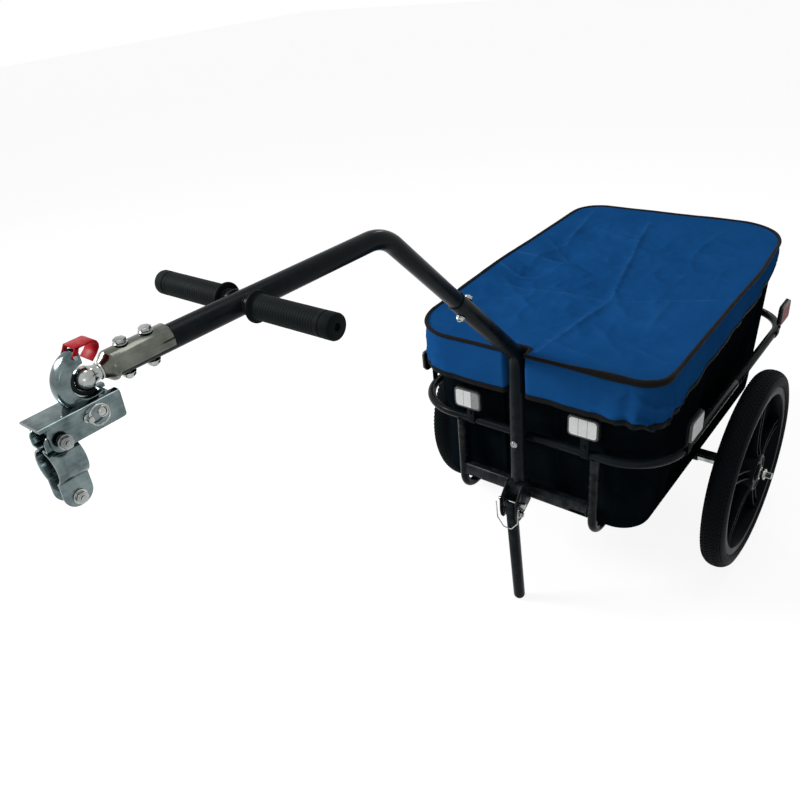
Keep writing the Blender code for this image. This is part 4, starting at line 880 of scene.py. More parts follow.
def swung(section, start, end, steps):
    """A section of (radius, x) swung round the ball's centre, angles from +Y towards +Z."""
    bm = bmesh.new()
    a = radians(start)
    face = bm.faces.new([bm.verts.new((x, BALL.y + r * cos(a), BALL.z + r * sin(a))) for r, x in section])
    first = [v.co.copy() for v in face.verts]
    geometry = list(face.verts) + list(face.edges) + [face]
    bmesh.ops.spin(bm, geom=geometry, cent=BALL, axis=(1, 0, 0), dvec=ZERO, angle=radians(end - start),
                   steps=steps, use_merge=False, use_duplicate=False)
    near = {k: v for v in bm.verts for k, place in enumerate(first) if (v.co - place).length < 1e-6}
    ring = [near[k] for k in range(len(first))]
    if any(len(e.link_faces) != 2 for e in bm.edges) and not bm.faces.get(ring):
        bm.faces.new(ring)
    bmesh.ops.recalc_face_normals(bm, faces=bm.faces)
    return bm


def hook():
    half, rim = HOOK_HALF, HOOK_R
    side = [(SEAT_R, half - 0.0014), (SEAT_R + 0.0002, half - 0.0006), (SEAT_R + 0.0006, half - 0.0002)]
    side += [(SEAT_R + 0.0014, half), (rim - 0.0034, half), (rim - 0.0022, half - 0.0003)]
    side += [(rim - 0.0012, half - 0.0010), (rim - 0.0004, half - 0.0021), (rim, half - 0.0034)]
    section = [(r, -x) for r, x in side] + side[::-1]
    jaw = swung(section, 92, 304, 64)
    eased(jaw, 0.0007, 3, 65)
    wide = CHANNEL_HALF - PLATE - CLEAR
    foot = block((-wide, -1.0985, CHANNEL_TOP - 0.018), (wide, -1.0560, CHANNEL_TOP - 0.0028))
    piece("hook_jaw", joined(jaw, eased(foot, 0.0008)), *HITCH_PLATE, "hook")
    pad = [(0.0113, -0.0030), (SEAT_R - 0.0012, -0.0030), (SEAT_R - 0.0012, 0.0030), (0.0113, 0.0030)]
    piece("ball_cup", swung(pad, 134, 296, 40), CUP_BLACK, "liner", "black_plastic", "hook_liner")


def channel():
    half, top, low = CHANNEL_HALF, CHANNEL_TOP, 0.812
    outer, inner = 0.0034, 0.0009
    bend = [(cos(pi * k / 16), sin(pi * k / 16)) for k in range(9)]
    right = [(half - outer + outer * u, top - outer + outer * v) for u, v in bend]
    under = [(half - outer + inner * u, top - outer + inner * v) for u, v in bend]
    outline = right + [(-x, z) for x, z in right[::-1]] + [(-x, z) for x, z in under[::-1]] + under
    web = slab(outline, "Y", -1.131, -1.053)
    web = cut_out(web, block((-0.0078, -1.0968, top - 0.01), (0.0078, -1.04, top + 0.01)))
    shapes, seam, nose = [web], top - outer, CLAMP_Y - 0.0105
    angles = [pi * k / 24 for k in range(15)]
    lobe = [(CLAMP_Y - 0.0105 * cos(a), CLAMP_Z - 0.001 - 0.0090 * sin(a)) for a in angles]
    flange = [(nose + 0.0035, seam), (nose + 0.0012, seam - 0.003), (nose + 0.0002, seam - 0.007)] + lobe
    flange += [(-1.1065, low), (-1.0560, low), (-1.0540, low + 0.0006)]
    flange += [(-1.0532, low + 0.0022), (-1.053, seam)]
    for a, b in ((half - PLATE, half), (-half, -half + PLATE)):
        shapes.append(slab(flange, "X", a, b))
    piece("hook_channel", joined(*shapes), *HITCH_PLATE, "hitch_channel")
    edge = CHANNEL_HALF + CLEAR
    head = [(0, edge + 0.0020), (0.0020, edge + 0.0019), (0.0040, edge + 0.0013)]
    head += [(0.0052, edge + 0.0005), (0.0055, edge)]
    rows = [(r, -x) for r, x in head] + [(0.003, -edge), (0.003, edge)] + head[::-1]
    piece("channel_rivet", turned(rows, "X", (0, -1.0730, 0.8265), 40), *HITCH_BOLT, "hitch_rivet")
    y, z = -1.0885, 0.8275
    rows = [(0, -0.0215), (0.0010, -0.0214), (0.0019, -0.0204)]
    rows += [(0.0022, -0.0194), (0.0022, edge + 0.0003)]
    rows += [(0.0037, edge + 0.0003), (0.0040, edge + 0.0006), (0.0040, 0.0172)]
    rows += [(0.0037, 0.0175), (0.0028, 0.0175)]
    rows += [(0.0028, 0.0231), (0.0024, 0.0235), (0, 0.0235)]
    pin = turned(rows, "X", (0, y, z), 40)
    piece("ring_pin", pin, ZINC, "linch_pin", "zinc_steel", "linch_pin")
    angles = [2 * pi * k / 48 for k in range(48)]
    loop = [Vector((0.0201, y + 0.0095 * (1 - cos(a)), z + 0.0095 * sin(a))) for a in angles]
    piece("pin_ring", pipe(loop, 0.0009, 4, loop=True), ZINC, "linch_ring", "zinc_steel", "linch_ring")


def lever():
    path = [(-1.0765, 0.8862), (-1.0590, 0.8862), (-1.0566, 0.8848), (-1.0556, 0.8820), (-1.0562, 0.8790)]
    path += [(-1.0600, 0.8745), (-1.0655, 0.8700)]
    plate = eased(slab(band(path, 0.0016), "X", -0.0094, 0.0094), 0.0003, 2, 60)
    shapes = [plate]
    ear = [(-1.0765, 0.8868), (-1.0808, 0.8800), (-1.0802, 0.8774), (-1.0785, 0.8764), (-1.0765, 0.8772)]
    ear += [(-1.0755, 0.8800), (-1.0720, 0.8868)]
    for low, high in ((0.0078, 0.0094), (-0.0094, -0.0078)):
        shapes.append(eased(slab(ear, "X", low, high), 0.0003, 2, 60))
    piece("lever_plate", joined(*shapes), RED_PAINT, "lever", "red_coat", "safety_lever")
    edge = HOOK_HALF + CLEAR + 0.0016 + CLEAR
    head = [(0, edge + 0.0014), (0.0012, edge + 0.0013), (0.0020, edge + 0.0008), (0.0022, edge)]
    rows = [(r, -x) for r, x in head] + [(0.002, -edge), (0.002, edge)] + head[::-1]
    piece("lever_rivet", turned(rows, "X", (0, -1.0785, 0.8790), 32), *HITCH_BOLT, "lever_pivot")


def clamp():
    low, high, thick = CLAMP_Y - 0.0141, CLAMP_Y + 0.0141, 0.0021
    for side, sign in SIDES:
        path = [(0.0119, CLAMP_Z + 0.0075), (0.0119, CLAMP_Z - 0.0046), (0.0116, CLAMP_Z - 0.0056)]
        path += [(0.0107, CLAMP_Z - 0.0064), (0.0096, CLAMP_Z - 0.0066), (0.0064, CLAMP_Z - 0.0064)]
        path += [(0.0052, CLAMP_Z - 0.0068), (0.0045, CLAMP_Z - 0.0076), (0.0045, CLAMP_Z - 0.0086)]
        angles = [72 - 4.06 * k for k in range(34)]
        path += [(CLAMP_R * cos(radians(a)), BORE_Z + CLAMP_R * sin(radians(a))) for a in angles]
        path += [(0.0085, 0.7765), (0.0085, 0.7745), (0.0085, 0.7500)]
        half = slab(band(path, thick), "Y", low, high)
        for test, width in ((lambda m: m.z > CLAMP_Z + 0.006, 0.0075), (lambda m: m.z < 0.7505, 0.0135)):
            ends = []
            for edge in half.edges:
                middle = (edge.verts[0].co + edge.verts[1].co) / 2
                if abs(run_of(edge).x) > 0.99 and edge.calc_length() < 0.004 and test(middle):
                    if min(abs(middle.y - low), abs(middle.y - high)) < 1e-4:
                        ends.append(edge)
            rounded(half, ends, width, 8)
        eased(half, 0.0003, 2, 60)
        half = sided(half, sign)
        piece(f"clamp_strap_{side}", half, BLUE_ZINC, "clamp", "dark_zinc_steel", f"clamp_half_{side}")
    edge = CHANNEL_HALF + CLEAR
    spaced = edge + 0.0040
    rows = [(0, edge), (0.0046, edge), (0.0046, spaced), (0, spaced)]
    spacer = eased_turn(rows, "X", (0, CLAMP_Y, CLAMP_Z), 40)
    bolt = joined(fastener("X", (CLAMP_Y, CLAMP_Z), spaced, -edge), spacer)
    piece("clamp_fixing_upper", bolt, *HITCH_BOLT, "clamp_bolt_upper")
    edge = 0.0085 + thick / 2 + CLEAR
    bolt = fastener("X", (CLAMP_Y, CLAMP_LOW), edge, -edge)
    piece("clamp_fixing_lower", bolt, ZINC, "clamp", "zinc_steel", "clamp_bolt_lower")


# Reflectors.

LENS_W, LENS_H, REFLECTOR_Z = 0.055, 0.039, 0.4265


def lens_shape(lift, grey):
    """A rounded lens on a tube along X through the origin, facing -Y, with a raised rim and prism bars."""
    mid = REFLECTOR_Z - HOOP_Z + lift
    front = -(TUBE_R + 0.0011) - 0.0040 - CLEAR
    half_w, half_h = LENS_W / 2, LENS_H / 2
    body = block((-half_w, front - 0.0046, mid - half_h), (half_w, front, mid + half_h))
    for face in body.faces:
        face.material_index = 1
    rounded(body, [e for e in body.edges if abs(run_of(e).y) > 0.99], 0.007, 8)
    shapes = [eased(body, 0.0008, 3, 60)]
    for low, high, columns in ((-0.0245, -0.0085, 14), (-0.0078, 0.0078, 14), (0.0085, 0.0245, 14)):
        prisms = bmesh.new()
        bmesh.ops.create_grid(prisms, x_segments=columns, y_segments=28, size=0.5)
        bmesh.ops.poke(prisms, faces=prisms.faces, offset=0.012)
        bmesh.ops.scale(prisms, vec=(high - low, 0.033, 0.026), verts=prisms.verts)
        outside = []
        for face in prisms.faces:
            middle = face.calc_center_median()
            x, y = abs(middle.x + (low + high) / 2), abs(middle.y)
            if x > 0.0185 and y > 0.0105 and hypot(x - 0.0185, y - 0.0105) > 0.006:
                outside.append(face)
        bmesh.ops.delete(prisms, geom=outside, context="FACES")
        turned_to(prisms, Matrix.Rotation(pi / 2, 4, "X"))
        grown = bmesh.ops.extrude_edge_only(prisms, edges=[e for e in prisms.edges if e.is_boundary])
        rim = [v for v in grown["geom"] if isinstance(v, bmesh.types.BMVert)]
        bmesh.ops.translate(prisms, verts=rim, vec=(0, 0.0008, 0))
        bmesh.ops.translate(prisms, verts=prisms.verts, vec=((low + high) / 2, front - 0.0047, mid))
        for face in prisms.faces:
            face.material_index = 2 if low == grey else 0
        shapes.append(prisms)
    return joined(*shapes)


def reflectors():
    for side, sign in SIDES:
        front_x, lift = (0.1195, 0.010) if sign > 0 else (-0.1075, 0.0)
        spots = [("front", WHITE_LENS, "white_reflector", Matrix.Translation((front_x, HOOP_FRONT, HOOP_Z)))]
        others = [("side", WHITE_LENS, "white_reflector", -0.245)]
        others += [("rear", RED_LENS, "red_reflector", 0.250)]
        for end, look, slot, y in others:
            place = Matrix.Translation((sign * HOOP_HALF, y, HOOP_Z)) @ Matrix.Rotation(sign * pi / 2, 4, "Z")
            spots.append((end, look, slot, place))
        for end, look, slot, place in spots:
            name = f"{end}_reflector_{side}"
            strap = of_node(f"{name}_bracket", 0.0004, 40)
            rows = [(0, -0.0127), (0.0030, -0.0120), (0.0034, -0.0110), (0.0034, -0.0096), (0, -0.0096)]
            strap = joined(strap, turned_to(turned(rows, "Y", (0, 0, 0.0165), 24), place))
            piece(f"strap_{end}_{side}", strap, TRIM_BLACK, "chassis", "black_plastic", f"{name}_bracket")
            grey = 0.0085 if end == "front" and sign == -1 else 0
            lens = turned_to(lens_shape(lift if end == "front" else 0.0, grey), place)
            made = piece(f"lens_{end}_{side}", lens, look, "chassis", slot, f"{name}_lens", sharp=20)
            made.data.materials.append(LENS_RIM)
            if grey:
                made.data.materials.append(GREY_LENS)


# Tub.

TUB_FLOOR, RECESS = 0.2113, 0.005


def arc(cx, cy, radius, start, recess=0.0):
    """A quarter circle whose middle part lies back by the recess, as (x, y) points."""
    points = []
    for k in range(25):
        share = k / 24
        back = recess * smooth_step((share - 0.10) / 0.05) * smooth_step((0.62 - share) / 0.05)
        a = radians(start + 90 * share)
        points.append((cx + (radius - back) * cos(a), cy + (radius - back) * sin(a)))
    return points


def ribbed(low, high, ribs, depth, extra=()):
    """(place, recess) along one side of the tub: a recessed panel with proud ribs."""
    rows = [(low, 0), (low + 0.005, depth * 0.9), (low + 0.006, depth)]
    for rib in ribs:
        rows += [(rib - 0.008, depth), (rib - 0.0045, 0.0003), (rib - 0.0035, 0), (rib + 0.0035, 0)]
        rows += [(rib + 0.0045, 0.0003), (rib + 0.008, depth)]
    rows += [(high - 0.006, depth), (high - 0.005, depth * 0.9), (high, 0)]
    return sorted(rows + [(place, depth) for place in extra])


def tub_ring(z, half, front, rear, corner, depth, dented=False):
    """One level of the tub's outline; the extra places let the post's dent show."""
    extra = [side * place for place in (0.019, 0.030, 0.040, 0.049) for side in (-1, 1)]
    across = ribbed(-0.142, 0.142, (-0.055, 0.055), depth, extra)
    along = ribbed(-0.242, 0.254, (-0.2, -0.1, 0.0, 0.1, 0.2), depth)
    points = [(x, front + d + (pressed(x) if dented else 0)) for x, d in across]
    turn = arc(half - corner, front + corner, corner, -90, depth)
    flip = [(-x, y) for x, y in turn]
    points += turn + [(half - d, y) for y, d in along]
    points += [(x, rear + front - y) for x, y in reversed(turn)]
    points += [(x, rear - d) for x, d in reversed(across)]
    points += [(x, rear + front - y) for x, y in flip]
    points += [(-half + d, y) for y, d in reversed(along)] + list(reversed(flip))
    return [(x + lean(x, y) * smooth_step((z - 0.40) / 0.09), y, z) for x, y in points]


def shell(rings, cap_first=True, cap_last=True):
    """Closed outlines of equal count joined in order."""
    bm = bmesh.new()
    made = [[bm.verts.new(point) for point in ring] for ring in rings]
    for a, b in zip(made, made[1:]):
        for k in range(len(a)):
            bm.faces.new((a[k], a[(k + 1) % len(a)], b[(k + 1) % len(a)], b[k]))
    for ring, wanted in ((made[0], cap_first), (made[-1], cap_last)):
        if wanted:
            bm.faces.new(ring)
    bmesh.ops.recalc_face_normals(bm, faces=bm.faces)
    return bm


def tub():
    def at(z, inset=0.0):
        share = (z - TUB_FLOOR) / (0.547 - TUB_FLOOR)
        half, front = 0.2075 + 0.0285 * share, -0.3115 - 0.0215 * share
        rear, corner = 0.3235 + 0.0265 * share, 0.055 + 0.016 * share
        return half - inset, front + inset, rear - inset, corner - inset

    turn = [(0.010 * (1 - cos(radians(a))), 0.010 * (1 - sin(radians(a)))) for a in (0, 18, 36, 54, 72, 90)]
    rings = [tub_ring(TUB_FLOOR + up, *at(TUB_FLOOR + up, inset), 0) for up, inset in turn]
    levels = [(0.2335, 0), (0.2345, 0.0004), (0.2395, 0.0046), (0.241, RECESS), (0.528, RECESS)]
    levels += [(0.5295, 0.0046), (0.534, 0.0004), (0.535, 0), (0.5462, 0)]
    rings += [tub_ring(z, *at(z), depth) for z, depth in levels]
    for z, half in ((0.547, 0.2371), (0.5474, 0.2375), (0.5496, 0.2375), (0.550, 0.2371)):
        front, rear = -0.3635 + 0.2375 - half, 0.3855 - 0.2375 + half
        rings.append(tub_ring(z, half, front, rear, 0.083, 0, dented=True))
    inset = RECESS + 0.0035
    for z in (0.550, 0.235):
        half, front, rear, corner = at(min(z, 0.547))
        rings.append(tub_ring(z, half - inset, front + inset, rear - inset, corner - inset, 0))
    half, front, rear, corner = at(TUB_FLOOR)
    rings.append(tub_ring(TUB_FLOOR + 0.003, half - 0.018, front + 0.018, rear - 0.018, corner - 0.018, 0))
    piece("tub_moulding", shell(rings), TUB_BLACK, "chassis", "tub_plastic", "tub", sharp=28)


# Fabric cover.

COVER_HALF, COVER_FRONT, COVER_REAR, COVER_Z = 0.2414, -0.370, 0.390, 0.5555
COVER_MID = (COVER_FRONT + COVER_REAR) / 2
COVER_LONG = (COVER_REAR - COVER_FRONT) / 2
DENT = 0.0275
TAPE_WIDTH = 0.0048

# Folds and wrinkles of the top: two ends, height and half width of each, in millimetres for the last two.
FOLDS = [
    (-0.060, 0.330, -0.020, 0.150, 4.6, 5), (-0.020, 0.150, 0.044, -0.100, 4.8, 5),
    (0.044, -0.100, 0.030, -0.350, 4.6, 5), (-0.170, -0.118, 0.044, -0.100, 3.2, 5),
    (0.044, -0.100, 0.245, -0.018, 3.4, 5), (-0.232, -0.030, -0.165, -0.058, 6.0, 7),
    (-0.165, -0.058, -0.120, -0.020, 3.5, 7), (-0.232, 0.010, -0.140, 0.000, -5.0, 9),
    (-0.228, 0.040, -0.120, 0.052, 4.8, 7), (-0.120, 0.052, -0.075, 0.110, 3.0, 8),
    (-0.220, 0.140, -0.110, 0.060, 3.4, 8), (-0.205, 0.345, -0.165, 0.130, 4.2, 7),
    (-0.150, 0.350, -0.185, 0.200, 2.6, 6), (-0.190, -0.090, -0.060, -0.200, 2.8, 9),
    (-0.220, -0.240, -0.080, -0.130, 2.6, 8), (-0.140, 0.090, -0.040, 0.010, -3.0, 11),
    (0.105, 0.330, 0.090, 0.190, 2.6, 5), (0.090, 0.190, 0.110, 0.120, 2.2, 6),
    (0.170, 0.120, 0.210, -0.120, 2.2, 8), (0.060, -0.200, 0.180, -0.330, 2.6, 8),
    (0.140, -0.060, 0.150, -0.180, 2.8, 5), (0.130, -0.120, 0.225, -0.240, -2.2, 9),
    (-0.020, 0.200, -0.150, 0.250, 2.4, 8), (0.020, -0.300, 0.190, -0.345, 3.0, 7),
    (0.100, -0.355, 0.215, -0.300, -2.6, 7), (-0.060, -0.320, -0.200, -0.330, 2.4, 8),
    (0.060, 0.050, 0.190, 0.090, 2.0, 7), (-0.080, -0.260, 0.010, -0.190, 2.2, 7),
    (0.150, -0.260, 0.225, -0.290, 3.0, 6), (0.205, -0.180, 0.160, -0.240, 2.4, 6),
]


def fold_away(fold, x, y):
    """Share of the way along a fold and the distance from it."""
    x0, y0, x1, y1 = fold[:4]
    run_x, run_y = x1 - x0, y1 - y0
    share = max(0.0, min(1.0, ((x - x0) * run_x + (y - y0) * run_y) / (run_x * run_x + run_y * run_y)))
    bow = 0.0016 * noise.noise((x * 30, y * 30, fold[4]))
    return share, abs(hypot(x - x0 - run_x * share, y - y0 - run_y * share) + bow)


def fold_height(x, y):
    total = 0.0
    for fold in FOLDS:
        share, away = fold_away(fold, x, y)
        if away > 0.05:
            continue
        end_fade = min(1.0, 0.35 + 4 * share * (1 - share))
        wide = fold[5] / 1000 * (1 + 0.3 * noise.noise((x * 22, y * 22, fold[4])))
        rise = 0.6 * exp(-away / (wide * 0.7)) + 0.4 * exp(-(away / (wide * 1.8)) ** 2)
        total += fold[4] / 1000 * end_fade * rise
    return total


def crease_wear_and_painted_sheen(x, y):
    """How pale a fold has made the cloth here, from 0 to 1: partly rubbed pale, partly a painted sheen on the fold's
    raised ridge.
    """
    total = 0.0
    for fold in FOLDS:
        share, away = fold_away(fold, x, y)
        if fold[4] > 0 and away < 0.012:
            patchy = 0.75 + 0.9 * noise.noise((x * 45, y * 45, fold[5] + 0.5))
            total += (fold[4] / 4.6) ** 2 * max(0, patchy) * exp(-(away / 0.0022) ** 2)
    return min(1.0, total)


def top_height(x, y, share):
    """Height of the cloth over the rim's level; share is 0 in the middle and 1 at the rim."""
    free = 1 - share ** 3
    sag = -0.0105 * (1 - share ** 2)
    hollow = -0.0185 * exp(-((x + 0.165) ** 2 + (y + 0.025) ** 2) / 0.0026)
    hollow -= 0.0150 * exp(-((x + 0.135) ** 2 + (y - 0.085) ** 2) / 0.0020)
    hollow += 0.0070 * exp(-(((x + 0.205) / 0.030) ** 2 + ((y - 0.170) / 0.110) ** 2))
    hollow -= 0.0030 * exp(-((x - 0.150) ** 2 + (y - 0.140) ** 2) / 0.012)
    swell = 0.0042 * noise.noise((x * 6.5, y * 5.0, 1.7)) + 0.0026 * noise.noise((x * 19, y * 16, 4.1))
    ridges = 0.0024 * max(0, 1 - abs(noise.noise((x * 16 + 3, y * 12, 8.8))) * 2.4) ** 2
    ridges += 0.0011 * max(0, 1 - abs(noise.noise((x * 34, y * 30 + 5, 2.2))) * 2.6) ** 2
    return sag + (hollow + swell + ridges + fold_height(x, y)) * free


def smooth_step(value):
    value = max(0.0, min(1.0, value))
    return value * value * (3 - 2 * value)


def pressed(x):
    """How far the post presses the front edge back."""
    return DENT * smooth_step((0.0220 - abs(x)) / 0.0055)


def lean(x, y):
    """Sideways shift of the top: it is narrower at the front left and at the rear right than a rectangle."""
    front, rear = smooth_step((0.02 - y) / 0.34), smooth_step((y - 0.08) / 0.26)
    shift = 0.006 * front - 0.015 * rear if x > 0 else 0.020 * front - 0.004 * rear
    return min(1.0, abs(x) / COVER_HALF) * shift


def corner_of(x, y):
    """Radius of the corner nearest to a place measured from the middle: the front right one stands out."""
    return (0.120 if y > 0 else 0.040) if x > 0 else (0.060 if y > 0 else 0.095)


def plan(u, v):
    """Place on the rounded outline's plan of a point of the square from -1 to 1."""
    x, y = u * COVER_HALF, v * COVER_LONG
    corner = corner_of(x, y)
    a = (abs(x) - (COVER_HALF - corner)) / corner
    b = (abs(y) - (COVER_LONG - corner)) / corner
    if a > 0 and b > 0:
        across, along = a * (1 - b * b / 2) ** 0.5, b * (1 - a * a / 2) ** 0.5
        x = (COVER_HALF - corner + across * corner) * (1 if x > 0 else -1)
        y = (COVER_LONG - corner + along * corner) * (1 if y > 0 else -1)
    y += COVER_MID
    return x + lean(x, y), y + pressed(x) * smooth_step(1 - (y - COVER_FRONT) / 0.11)


def outward(x, y):
    """Way out of the outline at a point of the rim."""
    x -= lean(x, y)
    corner = corner_of(x, y - COVER_MID)
    if y < COVER_FRONT + DENT + 0.002 and abs(x) < COVER_HALF - corner:
        return Vector((0, -1, 0))
    out_x, out_y = max(0, abs(x) - (COVER_HALF - corner)), max(0, abs(y - COVER_MID) - (COVER_LONG - corner))
    return Vector((out_x if x > 0 else -out_x, out_y if y > COVER_MID else -out_y, 0)).normalized()


def skirt_shift(x, y, share):
    """How far the skirt stands out at a share of its drop, and how far the cloth there hangs lower."""
    out = outward(x, y)
    along = x if abs(out.y) > abs(out.x) else y
    away = hypot(abs(x) - (COVER_HALF - 0.02), abs(y - COVER_MID) - (COVER_LONG - 0.02))
    at_corner = smooth_step(1 - away / 0.12)
    front_right = at_corner * (1.0 if x > 0 and y < COVER_MID else 0.45)
    ripple = 0.0011 * sin(along * 62 + 1.3 * noise.noise((x * 9, y * 9, 2.0)) * 3) * share
    phase = along * 150 + share * 2.5 + 4 * noise.noise((x * 14, y * 14, 6.0))
    ripple += 0.0040 * front_right * share * sin(phase)
    ripple += 0.0016 * noise.noise((x * 24, y * 24, share * 2.2)) * min(1, share * 2)
    crumpled = max(0, 1 - abs(noise.noise((x * 27, y * 27, share * 2.6 + 3.0))) * 2.8) ** 2
    ripple += 0.0085 * front_right * min(1, share * 1.6) * crumpled
    bulge = 0.0014 * sin(pi * min(1, share * 1.25))
    lower = 0.0030 * noise.noise((x * 11, y * 11, 3.3)) * share
    return ripple + bulge - 0.0012 * smooth_step((share - 0.85) / 0.15), lower


def hem_level(x, y):
    return 0.473 + 0.032 * max(0.0, min(1.0, (y + 0.30) / 0.62))


def cover_sheet():
    """The whole cloth: 0 on its faces is cloth, 1 the binding of the top edge, 2 the hem."""
    bm = bmesh.new()
    across, along = 138, 218
    bmesh.ops.create_grid(bm, x_segments=across, y_segments=along, size=1.0)
    kind = bm.faces.layers.int.new("kind")
    cloth = bm.loops.layers.uv.new("cloth")
    # Per-vertex mask of the pale crease lines, partly wear and partly painted sheen on the fold ridges.
    pale = bm.verts.layers.float.new("crease_wear_and_painted_sheen")
    inner_u, inner_v = 1 - TAPE_WIDTH / COVER_HALF, 1 - TAPE_WIDTH / COVER_LONG
    for face in bm.faces:
        spot = face.calc_center_median()
        face[kind] = 1 if abs(spot.x) > 1 - 1.5 / across or abs(spot.y) > 1 - 1.5 / along else 0
    rim = [e for e in bm.edges if e.is_boundary]
    rim_verts = {v for e in rim for v in e.verts}
    for v in bm.verts:
        u, w = v.co.x, v.co.y
        if v not in rim_verts:
            last_u, last_w = 1 - 2 / across, 1 - 2 / along
            u, w = u / last_u * inner_u, w / last_w * inner_v
        share = max(abs(u), abs(w))
        x, y = plan(u, w)
        rise = top_height(x, y, share) if v not in rim_verts else 0.0
        v.co = (x, y, COVER_Z + rise + 0.0012 * noise.noise((x * 9, y * 9, 5.5)) * share)
        v[pale] = crease_wear_and_painted_sheen(x, y) * (share < 0.97)
    for face in bm.faces:
        for loop in face.loops:
            loop[cloth].uv = loop.vert.co.xy
    binding = 0.0065 / 0.08
    levels = [binding + (1 - binding) * k / 15 for k in range(16)]
    base = {v: v.co.copy() for v in rim_verts}
    for index, share in enumerate(levels):
        grown = bmesh.ops.extrude_edge_only(bm, edges=rim)
        fresh_edges = [g for g in grown["geom"] if isinstance(g, bmesh.types.BMEdge) and g.is_boundary]
        fresh_faces = [g for g in grown["geom"] if isinstance(g, bmesh.types.BMFace)]
        fresh = {v for e in fresh_edges for v in e.verts}
        moved = {}
        for v in fresh:
            above = [o for e in v.link_edges for o in e.verts if o in base]
            start = base[min(above, key=lambda o: (o.co - v.co).length)]
            out, lower = skirt_shift(start.x, start.y, share)
            drop = (COVER_Z - hem_level(start.x, start.y)) * share + lower * share
            moved[v] = (start, Vector((start.x, start.y, start.z - drop)) + outward(start.x, start.y) * out)
        for v, (start, place) in moved.items():
            v.co = place
        for face in fresh_faces:
            face[kind] = 1 if index == 0 else 2 if index >= len(levels) - 2 else 0
            side_on = abs(outward(*face.calc_center_median().xy).x) > 0.7
            for loop in face.loops:
                spot = loop.vert.co
                loop[cloth].uv = (spot.y if side_on else spot.x, spot.z)
        base = {v: start for v, (start, place) in moved.items()}
        rim = fresh_edges
    bmesh.ops.recalc_face_normals(bm, faces=bm.faces)
    return bm


def piping():
    """The black cord sewn in along the top edge, thicker round the front right corner, where part of its width
    stands in for the shade in the gap where the cloth sags below it.
    """
    points, steps = [], 110
    square = [(2 * k / steps - 1, -1) for k in range(steps)] + [(1, 2 * k / steps - 1) for k in range(steps)]
    square += [(1 - 2 * k / steps, 1) for k in range(steps)] + [(-1, 1 - 2 * k / steps) for k in range(steps)]
    for u, w in square:
        x, y = plan(u, w)
        points.append(Vector((x, y, COVER_Z - 0.0006 + 0.0012 * noise.noise((x * 9, y * 9, 5.5)))))
    # The swell at the front right corner widens the black cord so that it stands in for the shade in the gap under
    # it.
    swell = [1 + 0.75 * smooth_step((p.x - 0.09) / 0.07) * smooth_step((-0.30 - p.y) / 0.05) for p in points]
    swell = [much * (1 + 0.12 * noise.noise((p.x * 30, p.y * 30, 0.7))) for much, p in zip(swell, points)]
    cord = pipe(points, 0.0035, 5, loop=True, swell=swell)
    cloth = cord.loops.layers.uv.new("cloth")
    for face in cord.faces:
        for loop in face.loops:
            loop[cloth].uv = (loop.vert.co.x + loop.vert.co.y, loop.vert.co.z)
    return cord


def strip_of(sheet, wanted, proud):
    """The sheet's faces of one kind, lifted off it."""
    bm = sheet.copy()
    kind = bm.faces.layers.int["kind"]
    bmesh.ops.delete(bm, geom=[f for f in bm.faces if f[kind] != wanted], context="FACES")
    bm.normal_update()
    for v, way in [(v, v.normal.copy()) for v in bm.verts]:
        v.co += way * proud
    return bm


def thickened(made, thickness, offset):
    modifier = made.modifiers.new("thickness", "SOLIDIFY")
    modifier.thickness = thickness
    modifier.offset = offset


def cover():
    sheet = cover_sheet()
    upward = max(sheet.faces, key=lambda f: f.calc_center_median().z)
    if upward.normal.z < 0:
        bmesh.ops.reverse_faces(sheet, faces=sheet.faces)
    binding = piece("cover_piping", piping(), TAPE, "cover", "cover_fabric", sharp=0)
    hem = piece("cover_hem", strip_of(sheet, 2, 0.0006), TAPE, "cover", "cover_fabric", sharp=0)
    cloth = piece("cover_cloth", sheet, CLOTH, "cover", "cover_fabric", "cover", sharp=0)
    thickened(hem, 0.0012, 0.0)
    thickened(cloth, 0.0006, -1.0)


# Studio.

def seen_rays(tree):
    """1 for the rays that show the white background."""
    ray = tree.nodes.new("ShaderNodeLightPath").outputs
    straight = maths(tree, "MAXIMUM", ray["Is Camera Ray"], ray["Is Transmission Ray"])
    return maths(tree, "MAXIMUM", straight, ray["Is Glossy Ray"])


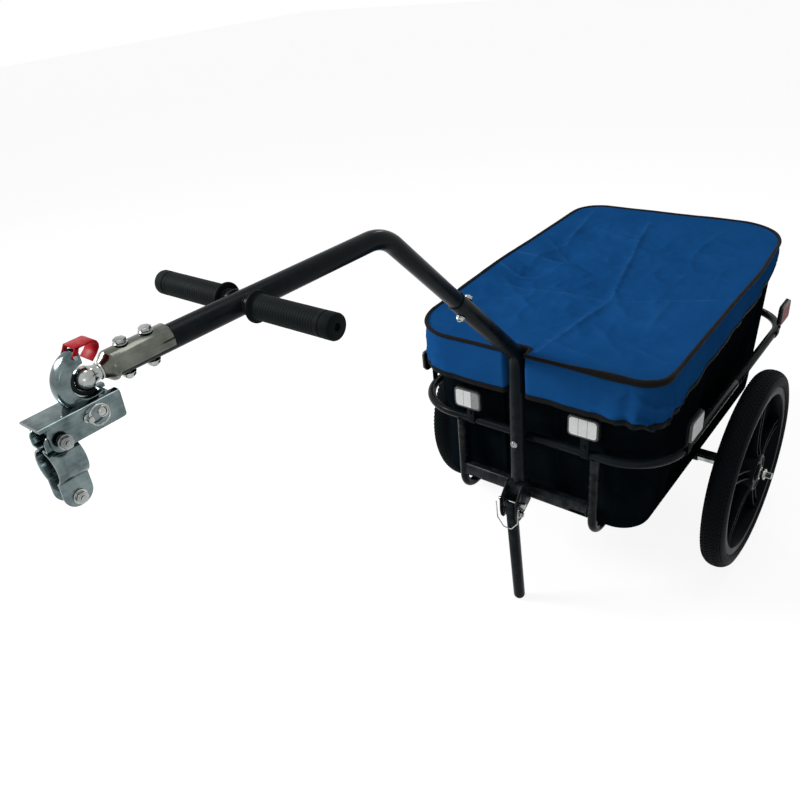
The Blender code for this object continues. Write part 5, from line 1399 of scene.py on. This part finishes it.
def studio():
    scene = bpy.context.scene
    scene.view_settings.view_transform = "Standard"
    world = bpy.data.worlds.new("studio")
    scene.world = world
    world.use_nodes = True
    tree = world.node_tree
    plain = tree.nodes["Background"]
    plain.inputs[0].default_value = (1, 1, 1, 1)
    plain.inputs[1].default_value = 0.20
    seen = wire(tree, "ShaderNodeBackground", {0: (1, 1, 1, 1), 1: 1.0})
    shown = seen_rays(tree)
    pick = wire(tree, "ShaderNodeMixShader", {0: shown, 1: plain.outputs[0], 2: seen.outputs[0]})
    tree.links.new(pick.outputs[0], tree.nodes["World Output"].inputs[0])

    floor = bmesh.new()
    bmesh.ops.create_grid(floor, x_segments=1, y_segments=1, size=14)
    mesh = bpy.data.meshes.new("floor")
    floor.to_mesh(mesh)
    floor.free()
    made = bpy.data.objects.new("floor", mesh)
    made.location.z = -0.0006
    scene.collection.objects.link(made)
    look, tree, shader = surface("pale_floor", Roughness=0.9, Base_Color=(0.86, 0.86, 0.86, 1))
    glow = wire(tree, "ShaderNodeEmission", {0: (1, 1, 1, 1), 1: 1.2})
    shown = maths(tree, "MULTIPLY", seen_rays(tree), 0.75)
    pick = wire(tree, "ShaderNodeMixShader", {0: shown, 1: shader.outputs[0], 2: glow.outputs[0]})
    tree.links.new(pick.outputs[0], tree.nodes["Material Output"].inputs[0])
    mesh.materials.append(look)

    lamps = [("ceiling", (0.2, 0.2, 3.2), (0.0, 0.1, 0.3), 1.2, 14)]
    lamps += [("key", (-2.3, -1.5, 2.2), (0, 0.1, 0.4), 0.9, 68), ("fill", (2.2, -2.0, 1.2), (0, -0.1, 0.4), 0.8, 3)]
    lamps += [("back", (-0.9, 2.6, 2.2), (0, 0, 0.5), 0.4, 7)]
    for name, place, target, size, power in lamps:
        light = bpy.data.lights.new(name, "AREA")
        light.size = size
        light.energy = power
        lamp = bpy.data.objects.new(name, light)
        lamp.location = place
        lamp.rotation_euler = (Vector(target) - Vector(place)).to_track_quat("-Z", "Y").to_euler()
        scene.collection.objects.link(lamp)

    az, el, roll = radians(41.99), radians(30.42), radians(-6.60)
    forward = Vector((-sin(az) * cos(el), cos(az) * cos(el), -sin(el)))
    level = Vector((cos(az), sin(az), 0))
    lift = level.cross(forward)
    right = cos(roll) * level + sin(roll) * lift
    up = -sin(roll) * level + cos(roll) * lift
    eye = bpy.data.cameras.new("viewpoint")
    eye.lens = 770.97 / 800 * 36
    eye.sensor_width = 36
    eye.shift_x, eye.shift_y = 0.0156, 0.0024
    eye.clip_start = 0.02
    camera = bpy.data.objects.new("viewpoint", eye)
    turn = Matrix((right, up, -forward)).transposed().to_4x4()
    camera.matrix_world = Matrix.Translation((0.5897, -0.9739, 1.1464)) @ turn
    scene.collection.objects.link(camera)
    scene.camera = camera


studio()
tube_frame()
axle()
wheels()
drawbar()
handle()
stand()
saddle()
hook()
channel()
lever()
clamp()
reflectors()
tub()
cover()
